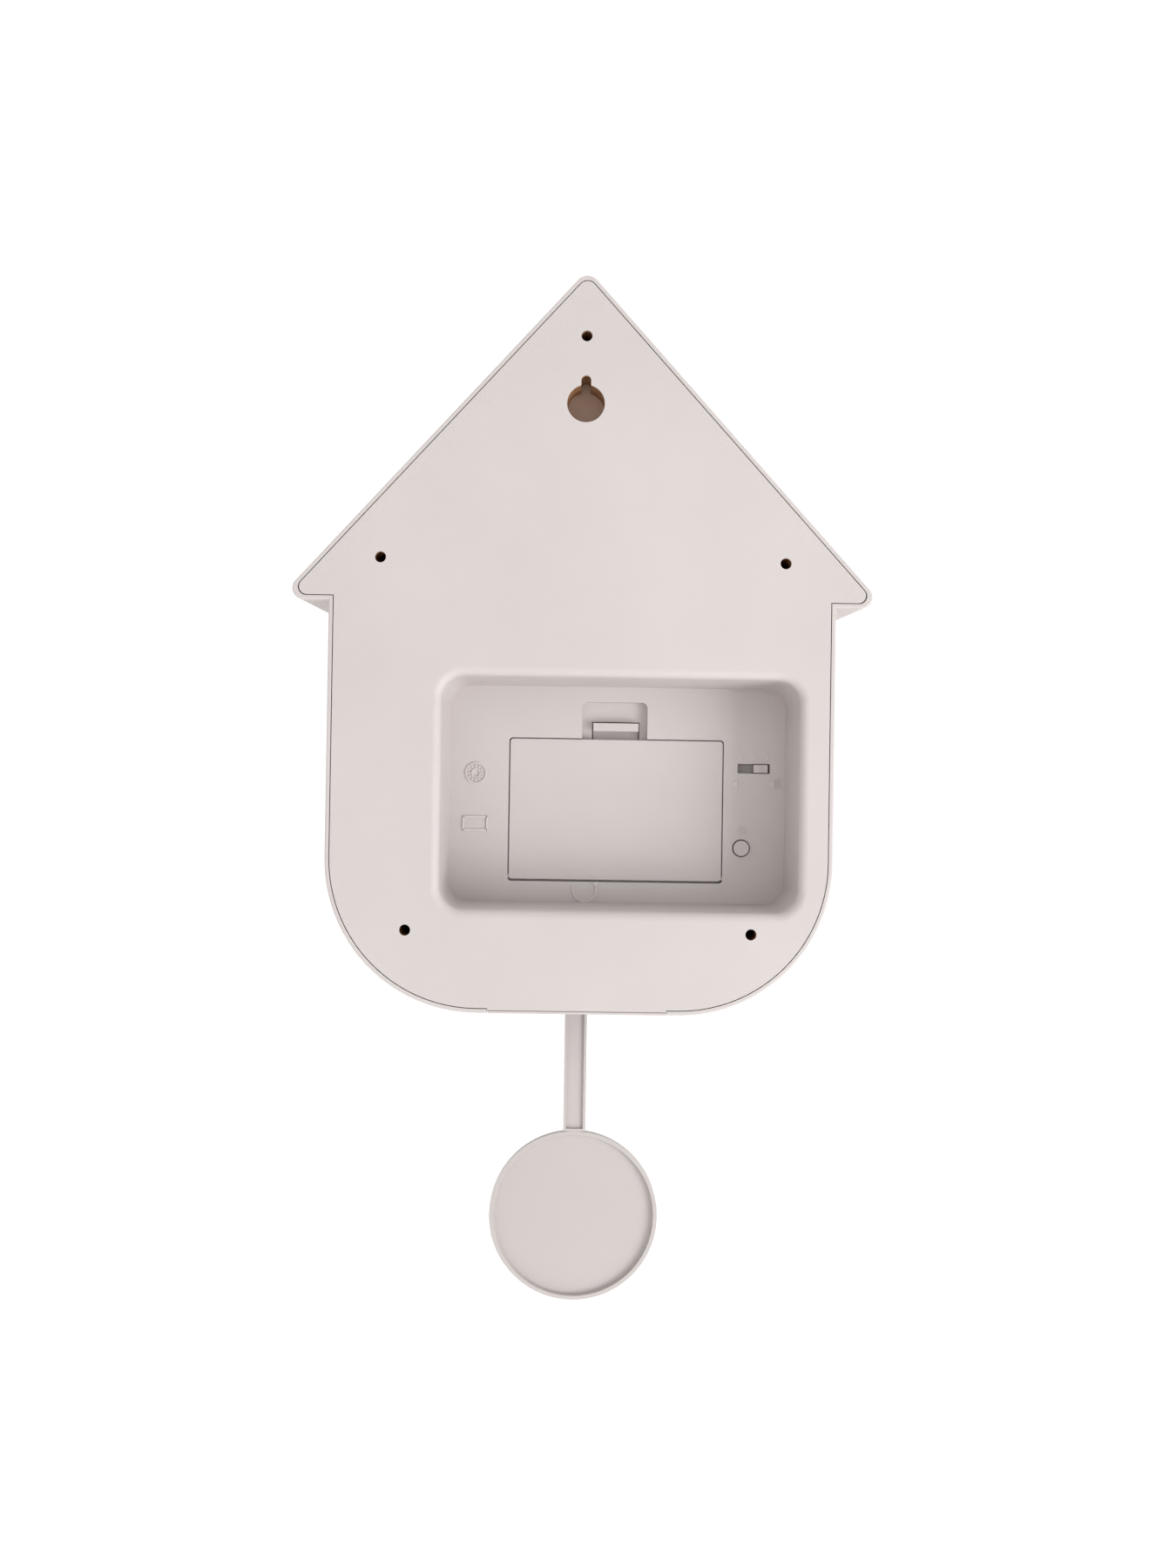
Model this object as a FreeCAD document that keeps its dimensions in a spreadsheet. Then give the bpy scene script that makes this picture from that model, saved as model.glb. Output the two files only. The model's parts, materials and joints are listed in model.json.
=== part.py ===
import FreeCAD, Part
import Sketcher
import math
import os
import re

# A house-shaped wall clock with a cuckoo, built as an assembly of separate pieces.
# Frame: +Z up, +Y out of the back (towards the wall), the dial faces -Y.
# Origin: the point on the back plane where the wall hook carries the clock.
# All lengths are millimetres and all angles degrees.

doc = FreeCAD.newDocument("cuckoo_clock")
sheet = doc.addObject("Spreadsheet::Sheet", "dims")

DRIVING = {
    # case
    "case_depth": (68.0, "back plane to front face"),
    "apex_z": (36.0, "height of the sharp roof apex"),
    "eave_z": (-72.2, "height of the soffits"),
    "half_apex": (42.2, "roof slope from the vertical"),
    "body_half": (81.8, "half width of the case below the eaves"),
    "bottom_z": (-204.4, "underside of the case"),
    "apex_round": (4.2, "outer radius of the apex"),
    "tip_round": (3.6, "outer radius of the eave tips"),
    "bottom_round": (49.3, "outer radius of the lower corners"),
    "draft": (1.1, "moulding draft of the case sides"),
    "front_round": (2.5, "radius round the front face"),
    "rim": (1.3, "rim of the case beside the cover"),
    "rim_round": (0.45, "rounding of the rim's outer edge"),
    "groove": (0.3, "gap between rim and cover"),
    "wall": (2.4, "case wall"),
    "front_wall": (2.0, "front wall"),
    "plate": (2.0, "rear cover thickness"),
    "slot_half": (29.0, "half width of the pendulum slot"),
    "line_rise": (0.7, "parting line above the lower edge, over the pendulum slot"),
    "line_depth": (0.5, "depth of that parting line"),
    # screws
    "well_radius": (1.8, "radius of the screw wells"),
    "well_wall": (1.9, "wall of the screw wells"),
    "well_depth": (40.0, "depth of the screw wells"),
    "top_screw_z": (14.4, "top screw"),
    "eave_screw_x": (65.4, "eave screws"),
    "eave_screw_z": (-58.2, "eave screws"),
    "low_screw_x": (55.7, "lower screws"),
    "low_screw_z": (-178.1, "lower screws"),
    # keyhole
    "key_radius": (6.1, "keyhole entry"),
    "key_z": (-7.5, "centre of the keyhole entry"),
    "key_slot": (1.6, "half width of the hook slot"),
    "key_depth": (11.5, "depth of the keyhole pocket"),
    "hook_depth": (6.0, "depth of the undercut that takes the screw head"),
    "hook_half": (5.3, "half width of the undercut"),
    # recess
    "recess_high_x": (45.2, "recess side"),
    "recess_low_x": (-71.0, "recess side"),
    "recess_high_z": (-95.7, "recess top"),
    "recess_low_z": (-171.3, "recess bottom"),
    "recess_depth": (27.0, "recess floor below the back plane"),
    "recess_round": (7.4, "recess corner radius"),
    "recess_flare": (2.8, "rounding of the recess rim"),
    "recess_draft": (3.0, "draft of the recess walls"),
    # battery bay
    "door_high_x": (23.6, "battery door side"),
    "door_low_x": (-48.4, "battery door side"),
    "door_high_z": (-114.9, "battery door top"),
    "door_low_z": (-162.4, "battery door bottom"),
    "door_gap": (0.35, "gap round the battery door"),
    "door_plate": (1.9, "battery door thickness"),
    "bay_depth": (17.0, "battery bay behind the recess floor"),
    "bay_wall": (1.5, "battery bay wall"),
    "ledge": (2.6, "ledge that carries the battery door"),
    "cell_radius": (7.2, "AA cell"),
    "cell_length": (50.5, "AA cell with its button"),
    "cell_x": (-37.8, "low end of the cells"),
    "cell_y": (-37.3, "cell axes"),
    "upper_cell_z": (-123.0, "upper cell axis"),
    "lower_cell_z": (-138.6, "lower cell axis"),
    "door_round": (1.2, "corner radius of the battery door"),
    "pocket_round": (2.0, "corner radius of the finger pocket"),
    "switch_round": (0.3, "corner radius of the switch slot"),
    "pocket_high_x": (-0.6, "finger pocket side"),
    "pocket_low_x": (-22.7, "finger pocket side"),
    "pocket_high_z": (-102.2, "finger pocket top"),
    "pocket_floor": (3.0, "finger pocket depth"),
    "pocket_depth": (6.0, "depth of the room for the latch spring"),
    "tongue_high_x": (-4.4, "latch tongue side"),
    "tongue_low_x": (-19.7, "latch tongue side"),
    "tongue_z": (-109.3, "latch tongue tip"),
    "tongue_lip": (2.7, "height of the latch lip"),
    "strap": (1.2, "thickness of the latch spring"),
    "strap_depth": (5.4, "reach of the latch spring behind the recess floor"),
    "door_edge": (0.25, "rounding of the battery door's outer edge"),
    "door_pin": (0.8, "battery door pivot radius"),
    # switch and button
    "switch_high_x": (-53.5, "switch slot end"),
    "switch_low_x": (-64.4, "switch slot end"),
    "switch_z": (-124.0, "switch slot centre"),
    "switch_half": (1.65, "half height of the switch slot"),
    "knob_long": (4.7, "switch knob length"),
    "knob_half": (1.33, "half height of the switch knob"),
    "button_x": (-55.0, "button centre"),
    "button_z": (-151.0, "button centre"),
    "button_radius": (2.58, "button radius"),
    "button_gap": (0.42, "gap round the button"),
    # dial and hands
    "dial_z": (-136.0, "hand axis"),
    "dial_radius": (60.0, "dial plate radius"),
    "dial_opening": (57.0, "radius of the opening in the front"),
    "dial_front": (-63.0, "dial face"),
    "dial_plate": (1.5, "dial plate thickness"),
    "bushing_radius": (3.9, "threaded bushing of the movement"),
    "hour_reach": (30.0, "hour hand length from the axis"),
    "minute_reach": (45.0, "minute hand length from the axis"),
    # movement
    "move_half": (28.0, "half width of the movement"),
    "move_back": (-49.0, "rear face of the movement"),
    "move_front": (-61.5, "front face of the movement"),
    "move_wall": (1.2, "movement housing wall"),
    "arbor": (0.6, "radius of the wheel pivots"),
    "fit": (0.05, "radial running clearance"),
    "knob_z": (-154.6, "set knob axis"),
    # cuckoo
    "gate_half": (17.4, "half width of the cuckoo opening"),
    "gate_low_z": (-59.0, "sill of the cuckoo opening"),
    "gate_high_z": (-14.0, "head of the cuckoo opening"),
    "leaf": (2.0, "cuckoo door thickness"),
    "hinge_x": (15.6, "cuckoo door hinge axis"),
    "hinge_y": (-66.8, "cuckoo door hinge axis"),
    "hinge_pin": (0.6, "cuckoo door hinge pin radius"),
    "deck_z": (-51.0, "top of the bird carriage"),
    "rack_y": (-36.0, "where the drive wheel meets the rack"),
    "rack_module": (0.8, "tooth module of the cuckoo drive"),
    # pendulum
    "pivot_z": (-169.5, "pendulum pivot"),
    "rod_half": (3.75, "half width of the pendulum rod"),
    "rod_back": (-30.5, "rear face of the pendulum rod"),
    "rod_thick": (3.0, "pendulum rod thickness"),
    "rod_channel": (0.9, "depth of the channel down the rod's rear"),
    "disc_z": (-276.6, "pendulum disc centre"),
    "disc_radius": (28.5, "pendulum disc radius"),
    "disc_thick": (3.0, "pendulum disc thickness"),
    "disc_rim": (1.2, "rim round the pendulum disc"),
}

for row, (alias, (value, meaning)) in enumerate(DRIVING.items(), start=1):
    sheet.set(f"A{row}", meaning)
    sheet.set(f"B{row}", str(value))
    sheet.setAlias(f"B{row}", alias)
doc.recompute()


def size(alias):
    """A driving dimension, read back from the sheet."""
    return float(getattr(sheet, alias))


def bound(text):
    """An expression in which every alias is looked up in the sheet."""
    names = lambda found: "dims." + found.group() if found.group() in DRIVING else found.group()
    return re.sub(r"[a-z_]+", names, text)


Y_AXIS = FreeCAD.Vector(0, 1, 0)
TURNS = {
    "+y": FreeCAD.Rotation(FreeCAD.Vector(1, 0, 0), -90),
    "-y": FreeCAD.Rotation(FreeCAD.Vector(1, 0, 0), 90),
    "+x": FreeCAD.Rotation(FreeCAD.Vector(0, 1, 0), 90),
    "+z": FreeCAD.Rotation(),
}


def place(thing, at, turn="+z"):
    """Turn an object and bind the three coordinates of its base."""
    thing.Placement = FreeCAD.Placement(FreeCAD.Vector(), TURNS[turn])
    for letter, text in zip("xyz", at):
        thing.setExpression("Placement.Base." + letter, bound(text))
    return thing


def box(name, x_span, y_span, z_span):
    """A block between a low and a high expression on each axis."""
    thing = doc.addObject("Part::Box", name)
    for prop, (low, high) in zip(("Length", "Width", "Height"), (x_span, y_span, z_span)):
        thing.setExpression(prop, bound(f"({high}) - ({low})"))
    return place(thing, (x_span[0], y_span[0], z_span[0]))


def rod(name, radius, length, at, turn="-y"):
    """A cylinder from a base centre along one axis."""
    thing = doc.addObject("Part::Cylinder", name)
    thing.setExpression("Radius", bound(radius))
    thing.setExpression("Height", bound(length))
    return place(thing, at, turn)


def cone(name, radius_low, radius_high, length, at, turn="-y"):
    """A cone frustum from a base centre along one axis."""
    thing = doc.addObject("Part::Cone", name)
    thing.setExpression("Radius1", bound(radius_low))
    thing.setExpression("Radius2", bound(radius_high))
    thing.setExpression("Height", bound(length))
    return place(thing, at, turn)


def fuse(name, things):
    """One solid from several touching ones."""
    joined = doc.addObject("Part::MultiFuse", name)
    joined.Shapes = things
    joined.Refine = True
    return joined


def cut(name, base, tools):
    """A solid with other solids taken away."""
    carved = doc.addObject("Part::Cut", name)
    carved.Base = base
    carved.Tool = tools[0] if len(tools) == 1 else group(name + "_tools", tools)
    return carved


def group(name, things):
    """Several solids kept apart in one object."""
    bundle = doc.addObject("Part::Compound", name)
    bundle.Links = things
    return bundle


def made(name, shape):
    """A shape worked out by a formula, held as one object."""
    thing = doc.addObject("Part::Feature", name)
    thing.Shape = shape
    thing.Placement = shape.Placement
    return thing


def runs_back(span):
    """Whether an edge's box says that it runs straight from back to front."""
    return span.XLength < 0.01 and span.ZLength < 0.01


def rounded(name, base, radius, wanted=runs_back):
    """Round the edges of a solid whose boxes pass a test."""
    doc.recompute()
    softened = doc.addObject("Part::Fillet", name)
    softened.Base = base
    curve = size(radius)
    softened.Edges = [(number, curve, curve) for number, edge in enumerate(base.Shape.Edges, start=1)
                      if wanted(edge.BoundBox)]
    return softened


NODES = {}


def node(name, thing):
    """Name an object as one finished piece of the clock."""
    thing.Label = name
    NODES[name] = thing
    return thing


# ---- sketched bodies -------------------------------------------------------

def sketch_on_back(body, name, offset="0"):
    """A sketch on the body's XZ plane, moved along Y by an offset."""
    plane = [feature for feature in body.Origin.OriginFeatures if feature.Role == "XZ_Plane"][0]
    sketch = body.newObject("Sketcher::SketchObject", name)
    sketch.AttachmentSupport = [(plane, "")]
    sketch.MapMode = "FlatFace"
    sketch.setExpression(".AttachmentOffset.Base.z", bound(f"-({offset})"))
    return sketch


def polygon(sketch, corners):
    """A closed outline: each corner is a guess and the two expressions that fix it."""
    count = len(corners)
    for index in range(count):
        here = corners[index]
        there = corners[(index + 1) % count]
        start = FreeCAD.Vector(here[0], here[1], 0)
        end = FreeCAD.Vector(there[0], there[1], 0)
        sketch.addGeometry(Part.LineSegment(start, end))
    for index in range(count):
        sketch.addConstraint(Sketcher.Constraint("Coincident", index, 2, (index + 1) % count, 1))
    for index, (x_guess, z_guess, x_text, z_text) in enumerate(corners):
        for kind, guess, text in (("DistanceX", x_guess, x_text), ("DistanceY", z_guess, z_text)):
            item = sketch.addConstraint(Sketcher.Constraint(kind, -1, 1, index, 1, guess))
            sketch.setExpression(f"Constraints[{item}]", bound(text))


def round_edges(body, base, name, radius, wanted):
    """Fillet the edges of a feature that a test picks out."""
    doc.recompute()
    picked = [f"Edge{number}" for number, edge in enumerate(base.Shape.Edges, start=1) if wanted(edge)]
    rounding = body.newObject("PartDesign::Fillet", name)
    rounding.Base = (base, picked)
    rounding.setExpression("Radius", bound(radius))
    doc.recompute()
    return rounding


def runs_deep_at(x, z, reach):
    """A test for an edge that runs from back to front near a point of the outline."""
    def test(edge):
        ends = [vertex.Point for vertex in edge.Vertexes]
        if len(ends) < 2 or abs(ends[0].y - ends[1].y) < reach:
            return False
        rear = max(ends, key=lambda point: point.y)
        return math.hypot(rear.x - x, rear.z - z) < 1.0
    return test


def house(name, inset, start, depth, tapered=True):
    """The outline of the case, moved inwards by an inset and swept towards the front."""
    body = doc.addObject("PartDesign::Body", name)
    sketch = sketch_on_back(body, name + "_outline", start)
    slope = math.radians(size("half_apex"))
    gap = {"0": 0.0, "rim": size("rim"), "rim + groove": size("rim") + size("groove"),
           "wall": size("wall")}[inset]
    apex = size("apex_z") - gap / math.sin(slope)
    eave = size("eave_z") + gap
    tip = (apex - eave) * math.tan(slope)
    side = size("body_half") - gap
    floor = size("bottom_z") + gap
    apex_text = f"(apex_z - ({inset}) / sin(half_apex * 1 deg))"
    eave_text = f"(eave_z + {inset})"
    tip_text = f"(({apex_text} - {eave_text}) * tan(half_apex * 1 deg))"
    side_text = f"(body_half - ({inset}))"
    floor_text = f"(bottom_z + {inset})"
    polygon(sketch, [
        (0, apex, "0", apex_text),
        (tip, eave, tip_text, eave_text),
        (side, eave, side_text, eave_text),
        (side, floor, side_text, floor_text),
        (-side, floor, "-" + side_text, floor_text),
        (-side, eave, "-" + side_text, eave_text),
        (-tip, eave, "-" + tip_text, eave_text),
    ])
    pad = body.newObject("PartDesign::Pad", name + "_sweep")
    pad.Profile = sketch
    pad.setExpression("Length", bound(depth))
    if tapered:
        pad.setExpression("TaperAngle", bound("-draft"))
    doc.recompute()
    reach = 0.5 * pad.Shape.BoundBox.YLength
    last = pad
    for label, radius, x, z in (
            ("corner", f"bottom_round - ({inset})", side, floor),
            ("ridge", f"apex_round - 0.7 * ({inset})", 0, apex),
            ("tip", f"tip_round - 0.7 * ({inset})", tip, eave)):
        right = runs_deep_at(x, z, reach)
        left = runs_deep_at(-x, z, reach)
        either = lambda edge, right=right, left=left: right(edge) or left(edge)
        last = round_edges(body, last, f"{name}_{label}", radius, either)
    return body, last


def tray(name, grow, depth):
    """A drafted block with rounded corners, open to the back plane."""
    body = doc.addObject("PartDesign::Body", name)
    sketch = sketch_on_back(body, name + "_outline")
    more = 0.0 if grow == "0" else size("plate")
    high_x = size("recess_high_x") + more
    low_x = size("recess_low_x") - more
    high_z = size("recess_high_z") + more
    low_z = size("recess_low_z") - more
    polygon(sketch, [
        (high_x, high_z, f"recess_high_x + {grow}", f"recess_high_z + {grow}"),
        (high_x, low_z, f"recess_high_x + {grow}", f"recess_low_z - {grow}"),
        (low_x, low_z, f"recess_low_x - {grow}", f"recess_low_z - {grow}"),
        (low_x, high_z, f"recess_low_x - {grow}", f"recess_high_z + {grow}"),
    ])
    pad = body.newObject("PartDesign::Pad", name + "_sweep")
    pad.Profile = sketch
    pad.setExpression("Length", bound(depth))
    pad.setExpression("TaperAngle", bound("-recess_draft"))
    doc.recompute()
    corners = [(high_x, high_z), (high_x, low_z), (low_x, low_z), (low_x, high_z)]
    tests = [runs_deep_at(x, z, 0.5 * pad.Shape.BoundBox.YLength) for x, z in corners]
    round_edges(body, pad, name + "_corners", f"recess_round + {grow}",
                lambda edge: any(test(edge) for test in tests))
    return body


# ---- case ------------------------------------------------------------------

SCREWS = {
    "top": ("0", "top_screw_z"),
    "eave_left": ("eave_screw_x", "eave_screw_z"),
    "eave_right": ("-eave_screw_x", "eave_screw_z"),
    "low_left": ("low_screw_x", "low_screw_z"),
    "low_right": ("-low_screw_x", "low_screw_z"),
}
BOSS_REACH = "case_depth - front_wall - well_depth - 0.3"


def front_shell():
    """The case: outer form, rebate for the cover, hollow, openings and screw bosses."""
    body, last = house("case_form", "0", "0", "case_depth")
    front = -size("case_depth")
    round_edges(body, last, "case_front_round", "front_round",
                lambda edge: all(abs(vertex.Point.y - front) < 0.01 for vertex in edge.Vertexes))
    round_edges(body, body.Tip, "case_rim_round", "rim_round",
                lambda edge: all(abs(vertex.Point.y) < 0.01 for vertex in edge.Vertexes))
    rebate, _ = house("case_rebate", "rim", "0.01", "plate + 0.01", tapered=False)
    hollow, _ = house("case_hollow", "wall", "0.01", "case_depth - front_wall + 0.01")
    dial_hole = rod("case_dial_hole", "dial_opening", "20", ("0", "-55", "dial_z"))
    gate = box("case_gate", ("-gate_half", "gate_half"), ("-case_depth - 1", "-55"),
               ("gate_low_z", "gate_high_z"))
    pin_seat = rod("case_pin_seat", "hinge_pin", "gate_high_z - gate_low_z + 4",
                   ("hinge_x", "hinge_y", "gate_low_z - 2"), "+z")
    slot = box("case_pendulum_slot", ("-slot_half", "slot_half"), ("-46", "0.5"),
               ("bottom_z - 1", "bottom_z + wall + 1"))
    carved = cut("case_carved", body, [rebate, hollow, dial_hole, gate, slot, pin_seat])
    ring_outer = rod("case_dial_ring", "dial_opening + 2", "dial_front + case_depth - front_wall + 0.5",
                     ("0", "dial_front", "dial_z"))
    ring_inner = rod("case_dial_ring_bore", "dial_opening", "20", ("0", "-55", "dial_z"))
    ring = cut("case_dial_well", ring_outer, [ring_inner])
    bosses = []
    for label, (x, z) in SCREWS.items():
        post = rod("case_boss_" + label, "well_radius + well_wall", BOSS_REACH,
                   (x, "-well_depth - 0.3", z))
        pilot = rod("case_pilot_" + label, "0.8", "14", (x, "-well_depth", z))
        bosses.append(cut("case_post_" + label, post, [pilot]))
    node("front_shell", fuse("front_shell_joined", [carved, ring] + bosses))


def rear_cover():
    """The inset cover with its keyhole, screw wells, recess, battery bay and openings."""
    sheet_body, _ = house("cover_form", "rim + groove", "0", "plate", tapered=False)
    tray_outer = tray("cover_tray", "plate", "recess_depth + plate")
    tray_inner = tray("cover_recess", "0", "recess_depth")
    bay = box("cover_bay", ("door_low_x - 2", "door_high_x + 2"),
              ("-recess_depth - bay_depth - bay_wall - plate", "-recess_depth - 0.5"),
              ("door_low_z - 2", "door_high_z + 2"))
    pocket_block = box("cover_pocket_block", ("pocket_low_x - 1.5", "pocket_high_x + 1.5"),
                       ("-recess_depth - pocket_depth - 1.5", "-recess_depth - 0.5"),
                       ("door_high_z", "pocket_high_z + 1.5"))
    key_block = rod("cover_key_round", "key_radius + 2", "key_depth + 1.5", ("0", "-0.5", "key_z"))
    key_box = box("cover_key_box", ("-key_radius - 2", "key_radius + 2"), ("-key_depth - 2", "-0.5"),
                  ("key_z", "4"))
    sill = box("cover_slot_sill", ("-slot_half + groove", "slot_half - groove"), ("-plate", "0"),
               ("bottom_z", "bottom_z + wall"))
    solids = [sheet_body, tray_outer, bay, pocket_block, key_block, key_box, sill]
    holes = [tray_inner]
    for label, (x, z) in SCREWS.items():
        solids.append(rod("cover_well_" + label, "well_radius + well_wall", "well_depth - 0.5", (x, "-0.5", z)))
        holes.append(rod("cover_well_hole_" + label, "well_radius", "well_depth - 1.8 + 1", (x, "1", z)))
        holes.append(rod("cover_shank_hole_" + label, "1.1", "well_depth + 2", (x, "1", z)))
    holes.append(rounded("cover_door_opening", box(
        "cover_door_hole", ("door_low_x - door_gap", "door_high_x + door_gap"),
        ("-recess_depth - plate", "-recess_depth + 1"),
        ("door_low_z - 2 * door_gap", "door_high_z + door_gap")), "door_round"))
    holes.append(box("cover_pivot_groove", ("door_low_x - door_gap", "door_high_x + door_gap"),
                     ("-recess_depth - plate - 1", "-recess_depth - plate + 0.5"),
                     ("door_low_z - 2 * door_gap", "door_low_z + 3")))
    holes.append(box("cover_bay_hollow", ("door_low_x + ledge", "door_high_x - ledge"),
                     ("-recess_depth - plate - bay_depth", "-recess_depth"),
                     ("door_low_z + 1", "door_high_z - 0.8")))
    holes.append(rounded("cover_pocket_soft", box(
        "cover_pocket", ("pocket_low_x", "pocket_high_x"),
        ("-recess_depth - pocket_floor", "-recess_depth + 1"),
        ("door_high_z - 3", "pocket_high_z")), "pocket_round"))
    holes.append(box("cover_latch_room", ("tongue_low_x - 0.4", "tongue_high_x + 0.4"),
                     ("-recess_depth - pocket_depth", "-recess_depth + 1"),
                     ("door_high_z - 2", "tongue_z + 0.5")))
    holes.append(rounded("cover_switch_opening", box(
        "cover_switch_slot", ("switch_low_x", "switch_high_x"), ("-recess_depth - 4", "-recess_depth + 1"),
        ("switch_z - switch_half", "switch_z + switch_half")), "switch_round"))
    holes.append(rod("cover_button_hole", "button_radius + button_gap", "6",
                     ("button_x", "-recess_depth + 1", "button_z")))
    holes.append(rod("cover_pivot_hole", "door_pin + fit", "door_high_x - door_low_x + 3",
                     ("door_low_x - 1.5", "-recess_depth - 1", "door_low_z + 1"), "+x"))
    holes.append(rod("cover_knob_hole", "2.2", "12", ("0", "-recess_depth - bay_depth", "knob_z")))
    holes.append(rod("cover_key_entry", "key_radius", "key_depth + 1", ("0", "1", "key_z")))
    holes.append(rod("cover_hook_arc", "key_slot", "key_depth + 1", ("0", "1", "0")))
    holes.append(box("cover_hook_slot", ("-key_slot", "key_slot"), ("-key_depth", "1"), ("key_z", "0")))
    holes.append(box("cover_hook_room", ("-hook_half", "hook_half"), ("-hook_depth", "-plate"),
                     ("key_z", "2.5")))
    holes.append(box("cover_sill_line", ("-slot_half", "slot_half"), ("-line_depth", "1"),
                     ("bottom_z + line_rise", "bottom_z + line_rise + groove")))
    joined = fuse("cover_solids", solids)
    carved = cut("cover_carved", joined, holes)
    doc.recompute()
    flared = doc.addObject("Part::Fillet", "cover_rim_round")
    flared.Base = carved
    low = FreeCAD.Vector(size("recess_low_x"), 0, size("recess_low_z"))
    high = FreeCAD.Vector(size("recess_high_x"), 0, size("recess_high_z"))
    flare = size("recess_flare")
    picked = []
    for number, edge in enumerate(carved.Shape.Edges, start=1):
        span = edge.BoundBox
        flat = abs(span.YMax) < 0.01 and abs(span.YMin) < 0.01
        inside = low.x - 0.1 < span.XMin and span.XMax < high.x + 0.1
        level = low.z - 0.1 < span.ZMin and span.ZMax < high.z + 0.1
        if flat and inside and level:
            picked.append((number, flare, flare))
    flared.Edges = picked
    node("rear_cover", flared)


def case_screws():
    """Five identical screws at the bottom of the wells."""
    screws = []
    for label, (x, z) in SCREWS.items():
        head = rod("screw_head_" + label, "well_radius - 0.15", "1.6", (x, "-well_depth + 3.4", z))
        shank = rod("screw_shank_" + label, "0.75", "11", (x, "-well_depth + 3.4", z))
        notch = box("screw_notch_" + label, (x + " - 1.2", x + " + 1.2"),
                    ("-well_depth + 2.8", "-well_depth + 3.5"), (z + " - 0.3", z + " + 0.3"))
        cross = box("screw_cross_" + label, (x + " - 0.3", x + " + 0.3"),
                    ("-well_depth + 2.8", "-well_depth + 3.5"), (z + " - 1.2", z + " + 1.2"))
        screws.append(cut("screw_" + label, fuse("screw_blank_" + label, [head, shank]), [notch, cross]))
    node("case_screws", group("case_screws_all", screws))


def battery_door():
    """The door plate with its two pivots and the spring tongue that latches it."""
    block = box("door_sheet", ("door_low_x", "door_high_x"), ("-recess_depth - door_plate", "-recess_depth"),
                ("door_low_z", "door_high_z"))
    cornered = rounded("door_sheet_cornered", block, "door_round")
    outer = -size("recess_depth")
    plate = rounded("door_sheet_soft", cornered, "door_edge", lambda span: span.YMin > outer - 0.01)
    pivot = rod("door_pivots", "door_pin", "door_high_x - door_low_x + 2",
                ("door_low_x - 1", "-recess_depth - 1", "door_low_z + 1"), "+x")
    across = ("tongue_low_x", "tongue_high_x")
    near_leg = box("latch_near_leg", across, ("-recess_depth - strap_depth", "-recess_depth - 1"),
                   ("door_high_z - 0.3 - strap", "door_high_z - 0.3"))
    web = box("latch_web", across, ("-recess_depth - strap_depth", "-recess_depth - strap_depth + strap"),
              ("door_high_z - 0.3 - strap", "tongue_z - 0.5"))
    far_leg = box("latch_far_leg", across, ("-recess_depth - strap_depth", "-recess_depth - 1"),
                  ("tongue_z - 0.5 - strap", "tongue_z - 0.5"))
    lip = box("latch_lip", across, ("-recess_depth - 1.6", "-recess_depth - 0.3"),
              ("tongue_z - tongue_lip", "tongue_z"))
    node("battery_door", fuse("battery_door_joined", [plate, pivot, near_leg, web, far_leg, lip]))


def batteries():
    """Two AA cells side by side, facing opposite ways, and their contacts."""
    body_length = "cell_length - 1.3"
    for label, level, button_at, body_at in (
            ("upper", "upper_cell_z", "cell_x", "cell_x + 1.3"),
            ("lower", "lower_cell_z", "cell_x + cell_length - 1.4", "cell_x")):
        can = rod(f"cell_{label}_can", "cell_radius", body_length, (body_at, "cell_y", level), "+x")
        button = rod(f"cell_{label}_button", "2.7", "1.4", (button_at, "cell_y", level), "+x")
        node(f"battery_cell_{label}", fuse(f"cell_{label}_joined", [can, button]))
    low_wall = "door_low_x + ledge"
    high_wall = "door_high_x - ledge"
    plates = []
    for label, low, high, z_low, z_high in (
            ("bridge", low_wall, low_wall + " + 0.4", "lower_cell_z - 5", "upper_cell_z + 5"),
            ("plus", high_wall + " - 0.4", high_wall, "lower_cell_z - 5", "lower_cell_z + 5"),
            ("minus", high_wall + " - 0.4", high_wall, "upper_cell_z - 5", "upper_cell_z + 5")):
        plates.append(box("contact_" + label, (low, high), ("cell_y - 5", "cell_y + 5"), (z_low, z_high)))
    node("battery_contacts", group("battery_contacts_all", plates))
    node("battery_springs", group("battery_springs_all", [
        coil_spring("spring_upper", size("cell_x") + size("cell_length"), size("upper_cell_z"),
                    size("door_high_x") - size("ledge") - 0.4, 1),
        coil_spring("spring_lower", size("cell_x"), size("lower_cell_z"),
                    size("door_low_x") + size("ledge") + 0.4, -1)]))


def coil_spring(name, cell_end, level, wall_x, way):
    """A conical wire spring between a contact plate and the flat end of a cell."""
    wire = 0.35
    reach = abs(wall_x - cell_end) - 2 * wire - 0.1
    path = Part.makeHelix(reach / 4, reach, 4.5, -18.0)
    start = FreeCAD.Vector(4.5, 0, 0)
    ring = Part.Wire(Part.makeCircle(wire, start, FreeCAD.Vector(0, 1, 0)))
    solid = Part.Wire(path.Edges).makePipeShell([ring], True, True)
    turn = FreeCAD.Rotation(FreeCAD.Vector(0, 1, 0), -90 * way)
    solid.Placement = FreeCAD.Placement(
        FreeCAD.Vector(wall_x - way * (wire + 0.05), size("cell_y"), level), turn)
    return made(name, solid)


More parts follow.
